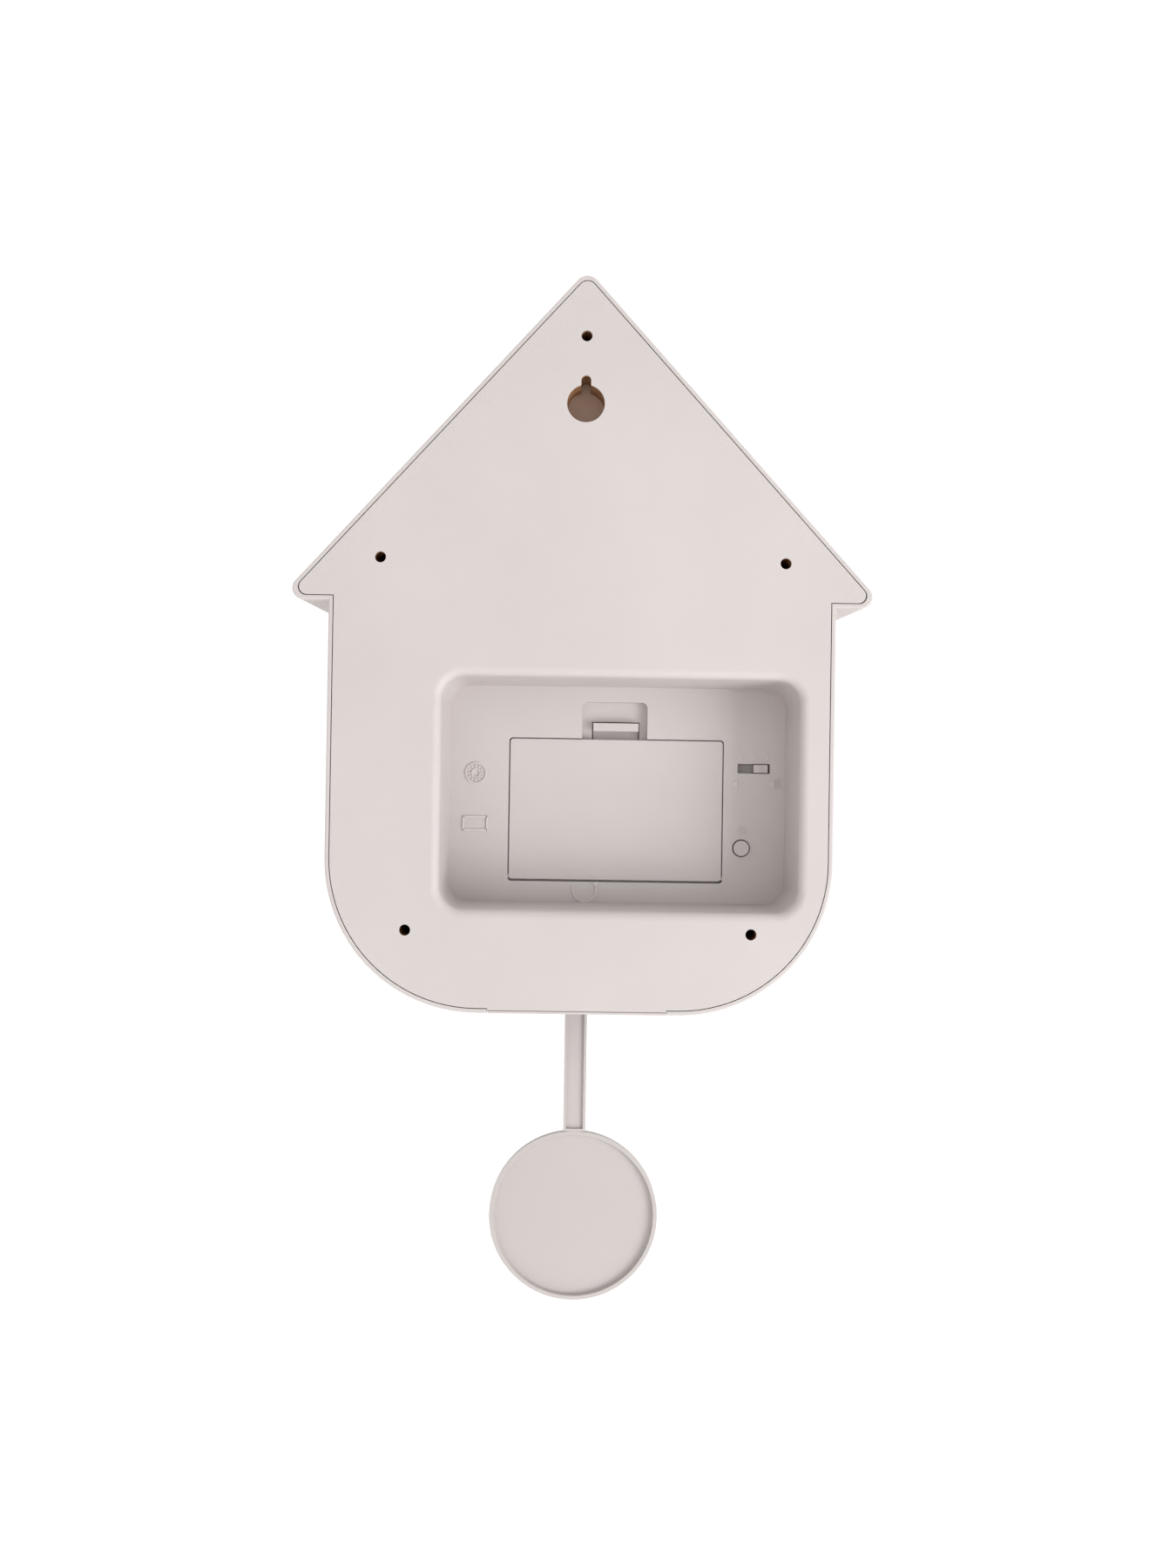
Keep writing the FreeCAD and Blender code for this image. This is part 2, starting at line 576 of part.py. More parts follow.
def switch_and_button():
    """The volume slider and the push button, with the electric parts behind them."""
    knob_low = "switch_low_x + 0.8"
    stem = box("knob_stem", (knob_low, knob_low + " + knob_long"), ("-recess_depth - 3.6", "-recess_depth + 0.6"),
               ("switch_z - knob_half", "switch_z + knob_half"))
    ridge = box("knob_ridge", (knob_low + " + knob_long / 2 - 0.4", knob_low + " + knob_long / 2 + 0.4"),
                ("-recess_depth + 0.5", "-recess_depth + 1"), ("switch_z - knob_half", "switch_z + knob_half"))
    node("volume_knob", fuse("volume_knob_joined", [stem, ridge]))
    block = box("switch_block", ("switch_low_x - 1", "switch_high_x + 1"), ("-recess_depth - 8", "-recess_depth - 4"),
                ("switch_z - 3.5", "switch_z + 3.5"))
    node("slide_switch", block)
    cap = rod("button_cap", "button_radius", "3.8", ("button_x", "-recess_depth + 1", "button_z"))
    flange = rod("button_flange", "button_radius + 1", "0.8", ("button_x", "-recess_depth - 2.4", "button_z"))
    node("set_button", fuse("set_button_joined", [cap, flange]))
    base = box("tact_base", ("button_x - 3", "button_x + 3"), ("-recess_depth - 8", "-recess_depth - 4.6"),
               ("button_z - 3", "button_z + 3"))
    plunger = rod("tact_plunger", "1.5", "1", ("button_x", "-recess_depth - 4", "button_z"))
    node("tact_switch", fuse("tact_switch_joined", [base, plunger]))
    board = box("switch_board_plate", ("switch_low_x - 1.5", "switch_high_x + 1.5"),
                ("-recess_depth - 9.6", "-recess_depth - 8"), ("button_z - 5", "switch_z + 6"))
    node("switch_board", board)


def sound():
    """The loudspeaker and the sound board."""
    at_x = "22"
    level = "-84"
    basket = rod("speaker_can", "18", "6", (at_x, "-36", level))
    basket_hollow = rod("speaker_can_hollow", "16.4", "6", (at_x, "-37.2", level))
    node("speaker_basket", cut("speaker_basket_ring", basket, [basket_hollow]))
    outer = cone("speaker_cone_outer", "5", "16", "3.6", (at_x, "-38", level))
    inner = cone("speaker_cone_inner", "4", "15", "3.6", (at_x, "-38.6", level))
    node("speaker_cone", cut("speaker_cone_skin", outer, [inner]))
    node("speaker_magnet", rod("speaker_magnet_disc", "9", "4", (at_x, "-32", level)))
    board = box("sound_board_plate", ("-76", "-40"), ("-34", "-32.4"), ("-88", "-63.5"))
    node("sound_board", board)
    node("sound_chip", box("sound_chip_block", ("-62", "-52"), ("-36", "-34"), ("-80", "-72")))


# ---- gears -----------------------------------------------------------------

def gear(teeth, module, thick, at, phase, front):
    """A spur gear on a Y axis. Teeth are flanked by straight sides; phase turns tooth 0 from +X to +Z."""
    pitch = module * teeth / 2
    rings = ((pitch - 1.2 * module, -0.34), (pitch + 0.85 * module, -0.12),
             (pitch + 0.85 * module, 0.12), (pitch - 1.2 * module, 0.34))
    corners = []
    for tooth in range(teeth):
        for radius, share in rings:
            angle = math.radians(phase + 360.0 * (tooth + share) / teeth)
            corners.append(FreeCAD.Vector(at[0] + radius * math.cos(angle), front,
                                          at[1] + radius * math.sin(angle)))
    face = Part.Face(Part.makePolygon(corners + corners[:1]))
    return face.extrude(FreeCAD.Vector(0, thick, 0))


def disc(radius, front, back, at):
    """A cylinder on a Y axis between two depths."""
    return Part.makeCylinder(radius, back - front, FreeCAD.Vector(at[0], front, at[1]), Y_AXIS)


def meshed(phase, teeth, other_teeth, bearing):
    """The phase of a gear that meshes with another one seen along a bearing from it."""
    return bearing + 180 + 180 / other_teeth + (bearing - phase) * teeth / other_teeth


def offset(start, distance, bearing):
    """A point at a distance and bearing from another, in the XZ plane."""
    angle = math.radians(bearing)
    return (start[0] + distance * math.cos(angle), start[1] + distance * math.sin(angle))


def bearing_of(start, end):
    """The direction from one point to another, in the XZ plane."""
    return math.degrees(math.atan2(end[1] - start[1], end[0] - start[0]))


# ---- movement --------------------------------------------------------------

CENTRE_TEETH = 60
CANNON_TEETH = 12
MINUTE_TEETH = 36
MINUTE_PINION_TEETH = 10
HOUR_TEETH = 40
MIDDLE_TEETH = 64
MIDDLE_PINION_TEETH = 8
ROTOR_TEETH = 8
SET_TEETH = 12


def movement():
    """The quartz movement: housing, going train, motion work, motor and setting knob."""
    centre = (0.0, size("dial_z"))
    arbor = size("arbor")
    fit = size("fit")
    back = size("move_back")
    front = size("move_front")
    knob = (0.0, size("knob_z"))
    motion_module = 0.5
    hour_module = motion_module * (CANNON_TEETH + MINUTE_TEETH) / (MINUTE_PINION_TEETH + HOUR_TEETH)
    motion_gap = motion_module * (CANNON_TEETH + MINUTE_TEETH) / 2
    half = (centre[1] - knob[1]) / 2
    minute = (math.sqrt(motion_gap ** 2 - half ** 2), centre[1] - half)
    middle = offset(centre, 0.4 * (CENTRE_TEETH + MIDDLE_PINION_TEETH) / 2, 160)
    rotor = offset(middle, 0.3 * (MIDDLE_TEETH + ROTOR_TEETH) / 2, 100)

    def pivoted(low, high, at, radius=arbor):
        return disc(radius, low, high, at)

    end_back = back - 0.2
    end_front = front + 0.2

    # centre wheel: great wheel, cannon pinion and the arbor that carries the minute hand
    wheel = gear(CENTRE_TEETH, 0.4, 0.8, centre, 0, -56.6)
    cannon = gear(CANNON_TEETH, motion_module, 1.8, centre, 0, -58.4)
    stem = disc(1.2, -66.6, -51.5, centre)
    tail = pivoted(-51.6, end_back, centre)
    node("centre_wheel", made("centre_wheel_shape", wheel.multiFuse([cannon, stem, tail]).removeSplitter()))

    # minute wheel with its pinion
    minute_phase = meshed(0, CANNON_TEETH, MINUTE_TEETH, bearing_of(centre, minute))
    big = gear(MINUTE_TEETH, motion_module, 1.0, minute, minute_phase, -58.3)
    small = gear(MINUTE_PINION_TEETH, hour_module, 1.7, minute, 0, -59.95)
    pin = pivoted(end_front, -57.1, minute)
    node("minute_wheel", made("minute_wheel_shape", big.multiFuse([small, pin]).removeSplitter()))

    # hour wheel with the pipe that carries the hour hand
    hour_phase = meshed(0, MINUTE_PINION_TEETH, HOUR_TEETH, bearing_of(minute, centre))
    hour = gear(HOUR_TEETH, hour_module, 1.0, centre, hour_phase, -59.9)
    pipe = disc(2.2, -65.1, -59.0, centre)
    bore = disc(1.2 + fit, -66.0, -58.0, centre)
    node("hour_wheel", made("hour_wheel_shape", hour.fuse(pipe).cut(bore).removeSplitter()))

    # intermediate wheel
    pinion_phase = meshed(0, CENTRE_TEETH, MIDDLE_PINION_TEETH, bearing_of(centre, middle))
    middle_pinion = gear(MIDDLE_PINION_TEETH, 0.4, 2.2, middle, pinion_phase, -56.8)
    middle_wheel = gear(MIDDLE_TEETH, 0.3, 0.8, middle, 0, -54.9)
    middle_pin = pivoted(end_front, end_back, middle)
    node("intermediate_wheel",
         made("intermediate_wheel_shape", middle_wheel.multiFuse([middle_pinion, middle_pin]).removeSplitter()))

    # rotor: pinion, arbor and magnet
    rotor_phase = meshed(0, MIDDLE_TEETH, ROTOR_TEETH, bearing_of(middle, rotor))
    rotor_pinion = gear(ROTOR_TEETH, 0.3, 1.4, rotor, rotor_phase, -55.2)
    rotor_pin = pivoted(end_front, end_back, rotor, 0.4)
    node("rotor_pinion", made("rotor_pinion_shape", rotor_pinion.fuse(rotor_pin).removeSplitter()))
    magnet = disc(2.6, -53.6, -52.4, rotor).cut(disc(0.4, -54, -52, rotor))
    node("rotor_magnet", made("rotor_magnet_shape", magnet))

    # setting knob: pinion, shaft and finger disc in the battery bay
    set_phase = meshed(minute_phase, MINUTE_TEETH, SET_TEETH, bearing_of(minute, knob))
    set_pinion = gear(SET_TEETH, motion_module, 1.4, knob, set_phase, -58.5)
    shaft = disc(1.1, -58.5, -45.0, knob)
    finger = disc(5.8, -45.4, -42.4, knob)
    for turn in range(0, 360, 20):
        finger = finger.cut(disc(0.6, -46, -42, offset(knob, 6.0, turn)))
    finger = finger.cut(Part.makeBox(7.0, 1.0, 1.2, FreeCAD.Vector(-3.5, -43.2, knob[1] - 0.6)))
    node("set_knob", made("set_knob_shape", set_pinion.multiFuse([shaft, finger]).removeSplitter()))

    # motor iron, coil, board and crystal
    leg = FreeCAD.Vector(rotor[0] - 6, -53.6, rotor[1] - 5)
    iron = Part.makeBox(30, 1.0, 5, FreeCAD.Vector(rotor[0] - 1, -53.6, rotor[1] - 2.5))
    yoke = Part.makeBox(12, 1.0, 10, leg)
    iron = iron.fuse(yoke).cut(disc(3.0, -54, -52, rotor))
    iron = iron.cut(Part.makeBox(13, 3, 6, FreeCAD.Vector(rotor[0] + 7, -54.5, rotor[1] - 3)))
    for side in (rotor[0] + 5, rotor[0] + 19):
        iron = iron.fuse(Part.makeBox(4, 1.0, 5, FreeCAD.Vector(side, -53.6, rotor[1] - 2.5)))
    core = Part.makeBox(18, 1.0, 2.4, FreeCAD.Vector(rotor[0] + 5, -53.6, rotor[1] - 1.2))
    node("stator", made("stator_shape", iron.fuse(core).removeSplitter()))
    coil_x = rotor[0] + 9.4
    along = FreeCAD.Vector(1, 0, 0)
    middle_y = -53.1
    tube = Part.makeCylinder(2.0, 9.2, FreeCAD.Vector(coil_x, middle_y, rotor[1]), along)
    for end in (coil_x, coil_x + 8.4):
        tube = tube.fuse(Part.makeCylinder(2.8, 0.8, FreeCAD.Vector(end, middle_y, rotor[1]), along))
    window = Part.makeBox(12, 1.0, 2.4, FreeCAD.Vector(coil_x - 1, -53.6, rotor[1] - 1.2))
    node("coil_bobbin", made("coil_bobbin_shape", tube.cut(window).removeSplitter()))
    winding = Part.makeCylinder(2.6, 7.6, FreeCAD.Vector(coil_x + 0.8, middle_y, rotor[1]), along)
    winding = winding.cut(Part.makeCylinder(2.0, 7.6, FreeCAD.Vector(coil_x + 0.8, middle_y, rotor[1]), along))
    node("coil_winding", made("coil_winding_shape", winding))
    node("movement_board", box("movement_board_plate", ("-26", "-8"), ("-51.4", "-50.2"), ("-162", "-144")))
    node("quartz_crystal", rod("crystal_can", "1.2", "7", ("-20", "-52.6", "-153"), "+x"))

    # housing, drilled for every arbor
    half_text = ("-move_half", "move_half")
    shell = box("movement_block", half_text, ("move_front + move_wall", "move_back"),
                ("dial_z - move_half", "dial_z + move_half"))
    room = box("movement_room", ("-move_half + move_wall", "move_half - move_wall"),
               ("move_front", "move_back - move_wall"),
               ("dial_z - move_half + move_wall", "dial_z + move_half - move_wall"))
    rear_holes = made("movement_rear_holes", disc(1.1 + fit, back - 2, back + 2, knob).multiFuse(
        [disc(arbor + fit, back - 2, back + 2, spot) for spot in (centre, middle)]
        + [disc(0.4 + fit, back - 2, back + 2, rotor)]))
    node("movement_housing", cut("movement_housing_box", shell, [room, rear_holes]))
    lid = box("movement_lid", half_text, ("move_front", "move_front + move_wall"),
              ("dial_z - move_half", "dial_z + move_half"))
    bushing = rod("movement_bushing", "bushing_radius", "2.9", ("0", "move_front + 0.2", "dial_z"))
    lid_holes = made("movement_lid_holes", disc(2.2 + fit, front - 4, front + 2, centre).multiFuse(
        [disc(arbor + fit, front - 1, front + 2, spot) for spot in (minute, middle)]
        + [disc(0.4 + fit, front - 1, front + 2, rotor)]))
    node("movement_front_plate", cut("movement_front_drilled", fuse("movement_front_blank", [lid, bushing]),
                                     [lid_holes]))


def hand(name, reach, width, front, back, hub, bore, tail):
    """A straight pointed hand with a round hub, pointing at twelve."""
    level = size("dial_z")
    corners = [(-0.5 * width, 0), (-0.7 * width, 0.72 * reach), (0, reach), (0.7 * width, 0.72 * reach),
               (0.5 * width, 0), (0.7 * width, -tail), (-0.7 * width, -tail)]
    points = [FreeCAD.Vector(x, front, level + z) for x, z in corners]
    blade = Part.Face(Part.makePolygon(points + points[:1])).extrude(FreeCAD.Vector(0, back - front, 0))
    shape = blade.fuse(disc(hub, front, back, (0, level)))
    shape = shape.cut(disc(bore, front - 1, back + 1, (0, level))).removeSplitter()
    node(name, made(name + "_shape", shape))


def dial():
    """Dial plate, hour marks, dial ring, hands and their cap."""
    plate = rod("dial_disc", "dial_radius", "dial_plate", ("0", "dial_front + dial_plate", "dial_z"))
    hole = rod("dial_hole", "bushing_radius + 0.1", "6", ("0", "-60", "dial_z"))
    node("dial_plate", cut("dial_drilled", plate, [hole]))
    level = size("dial_z")
    front = size("dial_front")
    marks = []
    for hour in range(12):
        broad = 2.4 if hour % 3 == 0 else 1.4
        bar = Part.makeBox(broad, 0.5, 6.0, FreeCAD.Vector(-broad / 2, front - 0.5, level + 47.5))
        bar.rotate(FreeCAD.Vector(0, 0, level), Y_AXIS, 30.0 * hour)
        marks.append(bar)
    node("hour_marks", made("hour_marks_shape", Part.makeCompound(marks)))
    outer = rod("bezel_outer", "dial_opening - 0.2", "3.2", ("0", "-case_depth + 4.6", "dial_z"))
    bezel_bore = cone("bezel_bore", "dial_opening - 3.4", "dial_opening - 1.4", "3.4",
                      ("0", "-case_depth + 4.7", "dial_z"))
    node("dial_ring", cut("dial_ring_cut", outer, [bezel_bore]))
    hand("hour_hand", size("hour_reach"), 3.4, -65.1, -64.4, 4.2, 2.2, 7.0)
    hand("minute_hand", size("minute_reach"), 2.6, -66.6, -65.9, 3.6, 1.2, 9.0)
    node("hand_cap", rod("hand_cap_disc", "2.4", "0.9", ("0", "-66.6", "dial_z")))


# ---- cuckoo ----------------------------------------------------------------

def cuckoo_door():
    """The door leaf with its barrel and pull, and its hinge pin."""
    sheet_part = box("leaf_sheet", ("-gate_half + 0.5", "hinge_x"),
                     ("hinge_y - leaf / 2", "hinge_y + leaf / 2"), ("gate_low_z + 0.5", "gate_high_z - 0.5"))
    barrel = rod("leaf_barrel", "leaf / 2 + 0.2", "gate_high_z - gate_low_z - 3",
                 ("hinge_x", "hinge_y", "gate_low_z + 1.5"), "+z")
    bore = rod("leaf_bore", "hinge_pin + fit", "80", ("hinge_x", "hinge_y", "gate_low_z - 5"), "+z")
    knob = rod("leaf_knob", "1.4", "0.2", ("-gate_half + 4", "hinge_y - leaf / 2", "gate_low_z + 20"))
    leaf = fuse("leaf_joined", [sheet_part, barrel, knob])
    node("cuckoo_door", cut("leaf_bored", leaf, [bore]))
    pin = rod("hinge_pin_wire", "hinge_pin", "gate_high_z - gate_low_z + 4",
              ("hinge_x", "hinge_y", "gate_low_z - 2"), "+z")
    node("door_hinge_pin", pin)


def bird():
    """The bird, its carriage with the rack, the guide, and the motor drive."""
    deck = size("deck_z")
    nose = -58.0
    body = Part.makeSphere(6.0)
    stretch = FreeCAD.Matrix()
    stretch.scale(1.0, 1.75, 1.05)
    torso = body.transformGeometry(stretch)
    torso.rotate(FreeCAD.Vector(), FreeCAD.Vector(1, 0, 0), -22)
    torso.translate(FreeCAD.Vector(0, -46, deck + 9.2))
    head = Part.makeSphere(4.9, FreeCAD.Vector(0, -53.0, deck + 17.0))
    tail = Part.makeBox(6, 12, 1.6, FreeCAD.Vector(-3, 0, 0))
    tail.rotate(FreeCAD.Vector(), FreeCAD.Vector(1, 0, 0), -14)
    tail.translate(FreeCAD.Vector(0, -38.5, deck + 6.6))
    legs = [Part.makeCylinder(0.8, 6, FreeCAD.Vector(x, -47, deck)) for x in (-2.4, 2.4)]
    node("bird_body", made("bird_body_shape", torso.multiFuse([head, tail] + legs)))
    beak = Part.makeCone(1.7, 0.3, 4.6, FreeCAD.Vector(0, -57.2, deck + 16.6), FreeCAD.Vector(0, -1, 0))
    node("bird_beak", made("bird_beak_shape", beak.cut(head)))
    eyes = [Part.makeSphere(0.9, FreeCAD.Vector(x, -55.6, deck + 18.6)).cut(head) for x in (-3.9, 3.9)]
    node("bird_eyes", made("bird_eyes_shape", Part.makeCompound(eyes)))

    module = size("rack_module")
    pitch = math.pi * module
    mesh_y = size("rack_y")
    line = -2.0
    rack_front = -40.0
    rack_back = -7.0
    top = line - 0.85 * module
    root = line + 1.2 * module
    wide = 0.34 * pitch
    narrow = 0.12 * pitch
    corners = [FreeCAD.Vector(2.0, rack_front, 0), FreeCAD.Vector(root, rack_front, 0)]
    first = math.ceil((rack_front + wide - mesh_y) / pitch)
    last = math.floor((rack_back - wide - mesh_y) / pitch)
    for tooth in range(first, last + 1):
        middle = mesh_y + tooth * pitch
        for x, y in ((root, middle - wide), (top, middle - narrow), (top, middle + narrow), (root, middle + wide)):
            corners.append(FreeCAD.Vector(x, y, 0))
    corners += [FreeCAD.Vector(root, rack_back, 0), FreeCAD.Vector(2.0, rack_back, 0)]
    rack = Part.Face(Part.makePolygon(corners + corners[:1])).extrude(FreeCAD.Vector(0, 0, 3.4))
    rack.translate(FreeCAD.Vector(0, 0, deck - 5.2))
    platform = Part.makeBox(16, 51, 2, FreeCAD.Vector(-8, nose, deck - 2))
    platform = platform.cut(Part.makeCylinder(0.8, 4, FreeCAD.Vector(-2.4, -47, deck - 1)))
    platform = platform.fuse(Part.makeCylinder(0.8, 1, FreeCAD.Vector(-2.4, -47, deck - 1)))
    node("bird_carriage", made("bird_carriage_shape", platform.fuse(rack).removeSplitter()))

    wheel_teeth = 20
    pinion_teeth = 10
    wheel = (line - module * wheel_teeth / 2, mesh_y)
    pinion = (wheel[0] - module * (wheel_teeth + pinion_teeth) / 2, mesh_y)
    low = deck - 5.2
    wheel_phase = 180.0 / wheel_teeth
    pinion_phase = meshed(wheel_phase, wheel_teeth, pinion_teeth, 180)
    for name, teeth, spot, phase, bore, thick in (
            ("drive_wheel", wheel_teeth, wheel, wheel_phase, 1.2, 3.0),
            ("motor_pinion", pinion_teeth, pinion, pinion_phase, 0.8, 3.0)):
        toothed = gear(teeth, module, thick, spot, phase, 0)
        toothed.rotate(FreeCAD.Vector(), FreeCAD.Vector(1, 0, 0), -90)
        toothed.translate(FreeCAD.Vector(0, 0, low + thick + 0.1))
        hole = Part.makeCylinder(bore + size("fit"), 20, FreeCAD.Vector(spot[0], spot[1], low - 10))
        node(name, made(name + "_shape", toothed.cut(hole)))

    floor_top = low - 0.3
    plate = Part.makeBox(46, 57, 1.6, FreeCAD.Vector(-30, -65.5, floor_top - 1.6))
    sides = []
    for x in (-10.2, 8.3):
        wall_height = deck - 2.4 - floor_top if x < 0 else deck + 1.0 - floor_top
        sides.append(Part.makeBox(1.9, 57, wall_height, FreeCAD.Vector(x, -65.5, floor_top)))
    window = Part.makeBox(14, 22, 20, FreeCAD.Vector(-18, mesh_y - 11, floor_top))
    post = Part.makeCylinder(1.2, 3.6, FreeCAD.Vector(wheel[0], wheel[1], floor_top - 0.2))
    shaft_hole = Part.makeCylinder(1.3, 10, FreeCAD.Vector(pinion[0], pinion[1], floor_top - 5))
    guide = plate.multiFuse(sides).cut(window).fuse(post).cut(shaft_hole)
    node("carriage_guide", made("carriage_guide_shape", guide.removeSplitter()))
    can_top = floor_top - 1.6
    can = Part.makeCylinder(6.0, 20, FreeCAD.Vector(pinion[0], pinion[1], can_top - 20))
    motor_shaft = Part.makeCylinder(0.8, 5.0, FreeCAD.Vector(pinion[0], pinion[1], can_top))
    node("cuckoo_motor", made("cuckoo_motor_shape", can.fuse(motor_shaft).removeSplitter()))


# ---- pendulum --------------------------------------------------------------

def pendulum():
    """The rod, the disc, the pivot with its bracket, and the drive."""
    front = "rod_back - rod_thick"
    top = "disc_z + disc_radius"
    blade = box("rod_blade", ("-rod_half", "rod_half"), (front, "rod_back"), (top, "pivot_z"))
    head = rod("rod_head", "rod_half", "rod_thick", ("0", "rod_back", "pivot_z"))
    lug = box("rod_tongue", ("-rod_half + 0.6", "rod_half - 0.6"), (front + " - 1.6", front),
              ("disc_z", top + " + 6"))
    channel = box("rod_channel", ("-rod_half + 0.9", "rod_half - 0.9"), ("rod_back - rod_channel", "rod_back + 1"),
                  (top + " + 0.9", "pivot_z - 6"))
    eye = rod("rod_eye", "1.2 + fit", "12", ("0", "-26", "pivot_z"))
    node("pendulum_rod", cut("rod_cut", fuse("rod_joined", [blade, head, lug]), [channel, eye]))
    dish = rod("disc_dish", "disc_radius", "disc_thick", ("0", "rod_back", "disc_z"))
    hollow = cone("disc_hollow", "disc_radius - disc_rim", "disc_radius - disc_rim - 0.5", "2",
                  ("0", "rod_back + 0.2", "disc_z"))
    node("pendulum_disc", cut("disc_cut", dish, [hollow]))
    node("pendulum_pin", rod("pivot_wire", "1.2", "6.6", ("0", "rod_back + 0.3", "pivot_z")))
    plate = box("bracket_plate", ("-9", "9"), ("-37", "-34.6"), ("-177", "-165.3"))
    arm = box("bracket_arm", ("-9", "9"), ("-61.5", "-36"), ("-167.5", "-165.3"))
    seat = box("bracket_seat", ("-9", "9"), ("-46.5", "-44.5"), ("-200", "-166"))
    foot = box("bracket_foot", ("-9", "9"), ("-61.5", "-45"), ("-188.5", "-186.5"))
    pin_hole = rod("bracket_hole", "1.2", "12", ("0", "-30", "pivot_z"))
    node("pendulum_bracket", cut("bracket_cut", fuse("bracket_joined", [plate, arm, seat, foot]), [pin_hole]))
    node("pendulum_magnet", rod("drive_magnet", "3.0", "2.0", ("0", front, "-193")))
    coil = rod("drive_coil_outer", "6.5", "5.5", ("0", "-39", "-193"))
    coil_bore = rod("drive_coil_bore", "2.0", "6", ("0", "-38.8", "-193"))
    node("pendulum_coil", cut("drive_coil_ring", coil, [coil_bore]))


front_shell()
rear_cover()
case_screws()
battery_door()
batteries()
switch_and_button()
sound()
movement()
dial()
cuckoo_door()
bird()
pendulum()
doc.recompute()

failed = [thing.Name for thing in doc.Objects if "Invalid" in thing.State or "Error" in thing.State]
for label, thing in NODES.items():
    if thing.Shape.isNull() or not thing.Shape.isValid():
        failed.append(label)
if failed:
    raise RuntimeError("these objects failed: " + ", ".join(failed))

os.makedirs("parts", exist_ok=True)
for label, thing in NODES.items():
    thing.Shape.exportStep(f"parts/{label}.step")
    print(label, len(thing.Shape.Solids), round(thing.Shape.Volume))
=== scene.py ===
import json
import math

import bmesh
import bpy
from bpy.props import FloatProperty, FloatVectorProperty, PointerProperty
from mathutils import Matrix, Vector


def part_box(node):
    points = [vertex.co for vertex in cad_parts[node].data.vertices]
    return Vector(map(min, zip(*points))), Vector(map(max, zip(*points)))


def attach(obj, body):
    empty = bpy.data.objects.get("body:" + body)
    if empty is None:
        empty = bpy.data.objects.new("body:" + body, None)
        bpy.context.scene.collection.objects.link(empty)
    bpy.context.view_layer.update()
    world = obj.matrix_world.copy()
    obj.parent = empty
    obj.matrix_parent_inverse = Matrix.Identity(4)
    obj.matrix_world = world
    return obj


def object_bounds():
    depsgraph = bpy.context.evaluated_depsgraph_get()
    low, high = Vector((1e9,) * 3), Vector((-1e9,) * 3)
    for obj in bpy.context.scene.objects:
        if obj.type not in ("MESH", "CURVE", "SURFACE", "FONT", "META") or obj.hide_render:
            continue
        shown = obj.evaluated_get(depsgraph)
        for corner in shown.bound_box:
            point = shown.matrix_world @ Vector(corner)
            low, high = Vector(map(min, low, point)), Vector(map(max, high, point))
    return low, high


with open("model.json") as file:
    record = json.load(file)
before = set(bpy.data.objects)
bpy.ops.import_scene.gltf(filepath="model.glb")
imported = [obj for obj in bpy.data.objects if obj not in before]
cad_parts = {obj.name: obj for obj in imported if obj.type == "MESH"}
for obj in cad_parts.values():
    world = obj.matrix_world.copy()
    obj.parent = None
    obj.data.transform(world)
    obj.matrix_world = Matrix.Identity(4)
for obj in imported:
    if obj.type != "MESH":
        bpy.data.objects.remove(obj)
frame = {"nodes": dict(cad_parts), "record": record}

bl_info = {
    "name": "Cuckoo Clock",
    "version": (1, 0, 0),
    "blender": (4, 5, 0),
    "location": "View3D > Sidebar > Clock",
    "description": "Dresses a house-shaped cuckoo clock: moulded plastics, dial print, marks and studio",
    "category": "Object",
}

CAD_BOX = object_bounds()
# The keyhole centre and the reaches around the keyhole and the screw wells bound where the cover's painted
# shade goes.
KEYHOLE_Z = -0.0048
KEYHOLE_SHADE_REACH = 0.0098
WELL_SHADE_REACH = 0.0019
SCREW_PLACES = ((0.0, 0.0144), (0.0654, -0.0582), (-0.0654, -0.0582), (0.0557, -0.1781), (-0.0557, -0.1781))


def middle_of(node):
    """The centre of a CAD node's box."""
    low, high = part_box(node)
    return (low + high) / 2


# ---- settings ---------------------------------------------------------------

def shade(name, text, value):
    """A colour that a user may change, in linear values."""
    return FloatVectorProperty(name=name, description=text, default=value, size=3,
                               subtype="COLOR", min=0.0, max=1.0)


def length(name, text, value):
    """A length that a user may change, in metres."""
    return FloatProperty(name=name, description=text, default=value, unit="LENGTH", precision=5)


class ClockColours(bpy.types.PropertyGroup):
    """Colours of the clock's finishes."""
    case: shade("Case", "Moulded case and rear cover", (0.525, 0.482, 0.470))
    pendulum: shade("Pendulum", "Pendulum rod and disc", (0.480, 0.441, 0.429))
    # Painted shade: this dark brown stands in for the shadow and warm bounce light deep inside the keyhole
    # and the screw wells, which are case-coloured plastic.
    hollow: shade("Hollows", "Walls inside the keyhole and the screw wells", (0.32, 0.165, 0.075))
    # Painted bounce light and shade: this warm brown tone on the keyhole floor stands in for light bouncing
    # round the well; the floor is case-coloured plastic.
    keyhole_floor: shade("Keyhole floor", "Floor of the keyhole well", (0.56, 0.40, 0.31))
    dial: shade("Dial", "Printed dial face", (0.70, 0.68, 0.645))
    ink: shade("Ink", "Numerals, marks and hands", (0.018, 0.017, 0.018))
    bird: shade("Bird", "Painted bird", (0.80, 0.76, 0.68))
    beak: shade("Beak", "Painted beak", (0.75, 0.22, 0.03))
    studio: shade("Studio", "Floor", (0.97, 0.97, 0.97))


class ClockSizes(bpy.types.PropertyGroup):
    """Sizes of the details added to the clock."""
    numeral: length("Numeral height", "Height of the dial numerals", 0.0088)
    numeral_ring: length("Numeral ring", "Radius on which the numerals stand", 0.0400)
    minute_ring: length("Minute ring", "Outer radius of the minute track", 0.0546)
    print_thick: length("Print thickness", "How far print stands off the dial", 0.00012)
    relief: length("Relief", "How far moulded marks stand off the plastic", 0.00045)
    floor_drop: length("Floor drop", "Clearance under the pendulum", 0.900)


